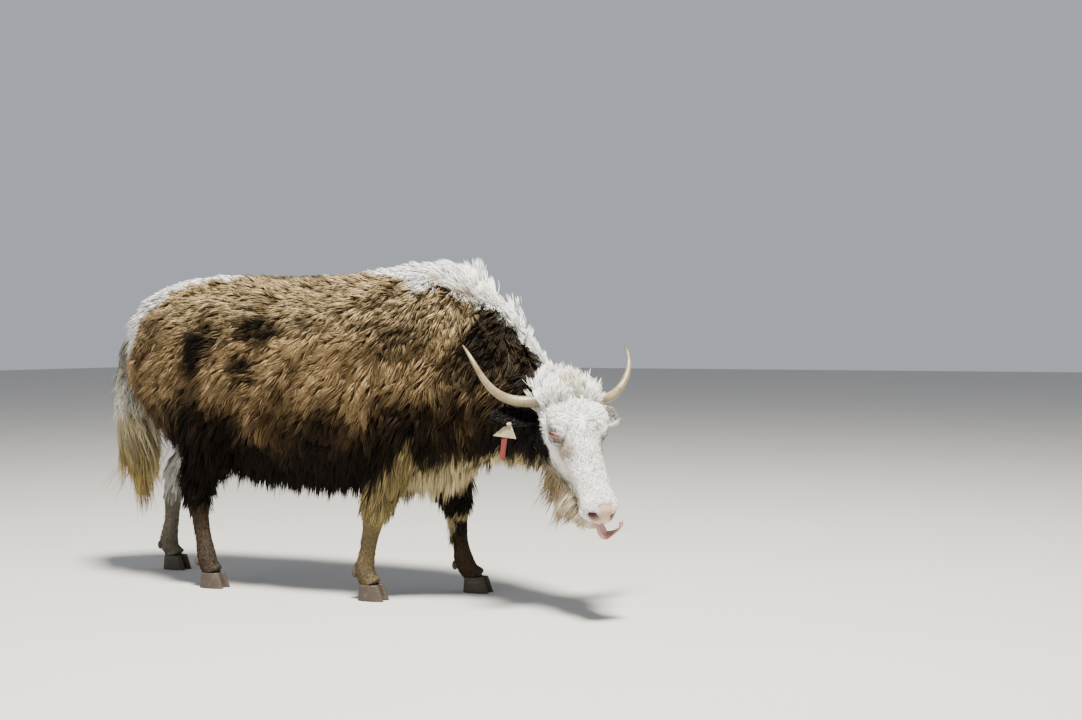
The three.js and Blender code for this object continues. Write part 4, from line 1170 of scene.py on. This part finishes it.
# TONGUE
# Muscle under a wet pale skin, flat with round edges. It comes out between the lips and
# curls up to the right nostril.
tongue = Form([
    [455, 4, -104, 22, 6, 6], [492, 8, -108, 23, 6, 6], [517, 22, -130, 22, 6, 6], [524, 48, -150, 19, 6, 6],
    [524, 74, -136, 17, 5.5, 5.5], [522, 84, -104, 14, 5, 5], [514, 74, -74, 9, 4, 4],
], power=2.2, across=(0.6, -0.8, 0), blunt=(0.5, 1), turn=HEAD, start=POLL)
points, faces = tongue.shell(36, 60)
t, degrees, _ = tongue.locate(points)
centre, _, _, up, _ = tongue.frames(t)
points -= unit(points - centre) * (1.8 * np.exp(-((np.abs(np.abs(degrees) - 90)) / 16) ** 2))[:, None]
made = piece("tongue_flesh", points, faces)
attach(made, "root")
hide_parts("tongue")


def tongue_finish(s):
    buds, cloud = s.noise(900.0, 2.0), s.noise(70.0)
    return {
        "Base Color": cloud.blend((0.28, 0.12, 0.11), (0.45, 0.23, 0.21)),
        "Roughness": buds * 0.2 + 0.2,
        "Coat Weight": 0.5,
        "Normal": s.bump(buds + cloud, 0.0008, 0.7),
        "Subsurface Weight": 0.1,
        "Subsurface Scale": 0.006,
    }


made.data.materials.append(finish("tongue_skin", tongue_finish))

# EAR TAG
# A corner of cream felt knotted through the right ear, and a red ribbon tied to it, both
# hanging free. The felt is a cut triangle 1.6 mm thick, the ribbon a woven strip of 1 mm.
tag_top = in_head([[86, -222, -120]])[0]
TAG_TURN = math.radians(24)


def on_tag(x, out, z):
    cos, sin = math.cos(TAG_TURN), math.sin(TAG_TURN)
    return np.stack([x * cos - out * sin, x * sin + out * cos, z], -1) + tag_top


def cloth_sheet(name, left, right, top, foot, thick, folds, across=18, down=26):
    """A thin closed sheet between two edges, each running from top to foot, with soft folds."""
    u, v = np.meshgrid(np.linspace(0, 1, across), np.linspace(0, 1, down))
    x = (left[0] + (left[1] - left[0]) * v) * (1 - u) + (right[0] + (right[1] - right[0]) * v) * u
    z = top + (foot[0] * (1 - u) + foot[1] * u - top) * v
    wave = folds * np.sin(u * 7 + v * 2) * v
    front, rear = on_tag(x, wave - thick / 2, z), on_tag(x, wave + thick / 2, z)
    points = np.vstack([front.reshape(-1, 3), rear.reshape(-1, 3)])
    half = across * down
    k = (np.arange(down - 1)[:, None] * across + np.arange(across - 1)).ravel()
    faces = [np.stack([k, k + 1, k + across + 1], 1), np.stack([k, k + across + 1, k + across], 1)]
    faces += [f[:, ::-1] + half for f in faces[:2]]
    edge = np.concatenate([
        np.arange(across - 1), np.arange(down - 1) * across + across - 1,
        (down - 1) * across + np.arange(across - 1, 0, -1), np.arange(down - 1, 0, -1) * across,
    ])
    after = np.roll(edge, -1)
    faces += [np.stack([after, edge, edge + half], 1), np.stack([after, edge + half, after + half], 1)]
    return piece(name, points, np.vstack(faces))


def felt_finish(s):
    fuzz, stain = s.noise(700.0, 4.0), s.noise(40.0)
    return {
        "Base Color": stain.blend((0.26, 0.21, 0.11), (0.42, 0.36, 0.23)),
        "Roughness": fuzz * 0.1 + 0.85,
        "Normal": s.bump(fuzz, 0.0012, 0.8),
        "Sheen Weight": 0.3,
    }


felt = finish("felt", felt_finish)
tag = cloth_sheet("tag_cloth", (-7, -57), (7, 26), 4, (-38, -50), 1.6, 2.0)
tag.data.materials.append(felt)
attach(tag, "root")
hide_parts("ear_tag")
knot_points, knot_faces = ball([0, 0, 0], [9, 8, 8], 28)
knot_points *= (1 + 0.12 * np.sin(knot_points[:, :1] * 0.7 + knot_points[:, 2:] * 0.5))
knot = piece("tag_knot", on_tag(knot_points[:, 0], knot_points[:, 1], knot_points[:, 2] + 2), knot_faces)
knot.data.materials.append(felt)
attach(knot, "root")


def ribbon_finish(s):
    weave, wear = s.noise(1400.0, 2.0), s.noise(90.0)
    return {
        "Base Color": wear.blend((0.09, 0.005, 0.005), (0.18, 0.01, 0.008)),
        "Roughness": weave * 0.2 + 0.6,
        "Normal": s.bump(weave, 0.0005, 0.7),
        "Sheen Weight": 0.2,
    }


ribbon = cloth_sheet("tag_ribbon", (-26, -33), (-6, -15), -46.5, (-118, -123), 1.0, 1.5, 10, 30)
ribbon.data.materials.append(finish("ribbon_weave", ribbon_finish))
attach(ribbon, "root")
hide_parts("ear_ribbon")

# FLOOR AND LIGHT
# A plain pale floor, and over it a broad soft sun from the upper right. A large weak lamp in
# front and a pale sky fill the shadows.
bpy.ops.mesh.primitive_plane_add(size=60, location=(0, 10, 0))
floor = bpy.context.object
floor.name = "floor"


def floor_finish(s):
    return {
        "Base Color": s.noise(0.8).blend((0.5, 0.485, 0.455), (0.54, 0.525, 0.49)),
        "Roughness": s.noise(3.0) * 0.1 + 0.85,
    }


floor.data.materials.append(finish("floor_pale", floor_finish))
world = bpy.data.worlds.new("studio")
bpy.context.scene.world = world
world.use_nodes = True
world.node_tree.nodes["Background"].inputs["Color"].default_value = (0.86, 0.9, 1.0, 1.0)
world.node_tree.nodes["Background"].inputs["Strength"].default_value = 0.5


def lamp(name, place, target, size, power, colour):
    light = bpy.data.lights.new(name, "AREA")
    light.size, light.energy, light.color = size, power, colour
    made = bpy.data.objects.new(name, light)
    made.location = place
    made.rotation_euler = (Vector(target) - Vector(place)).to_track_quat("-Z", "Y").to_euler()
    bpy.context.collection.objects.link(made)


lamp("sun", (2.0, -2.3, 7.8), (0, 0, 0.8), 1.5, 3000, (1.0, 0.96, 0.88))
lamp("fill", (-3.0, -6.5, 3.0), (0, 0, 0.8), 5.0, 110, (0.9, 0.94, 1.0))

# CAMERA
# A 50 mm lens six metres off and one metre up, a little behind square to the right side and
# looking a little down.
camera = bpy.data.objects.new("camera", bpy.data.cameras.new("camera"))
bpy.context.collection.objects.link(camera)
bpy.context.scene.camera = camera
camera.data.sensor_width = 36
camera.data.lens = 50.007
azimuth, pitch = math.radians(24), math.radians(0.8767)
ahead = Vector((-math.sin(azimuth) * math.cos(pitch), math.cos(azimuth) * math.cos(pitch), -math.sin(pitch)))
right = Vector((math.cos(azimuth), math.sin(azimuth), 0))
above = right.cross(ahead)
turned = Matrix((right, above, -ahead)).transposed().to_4x4()
turned.translation = Vector((3.14372783, -5.11276047, 1.0)) + Vector(SHIFT)
camera.matrix_world = turned
camera.data.clip_end = 200
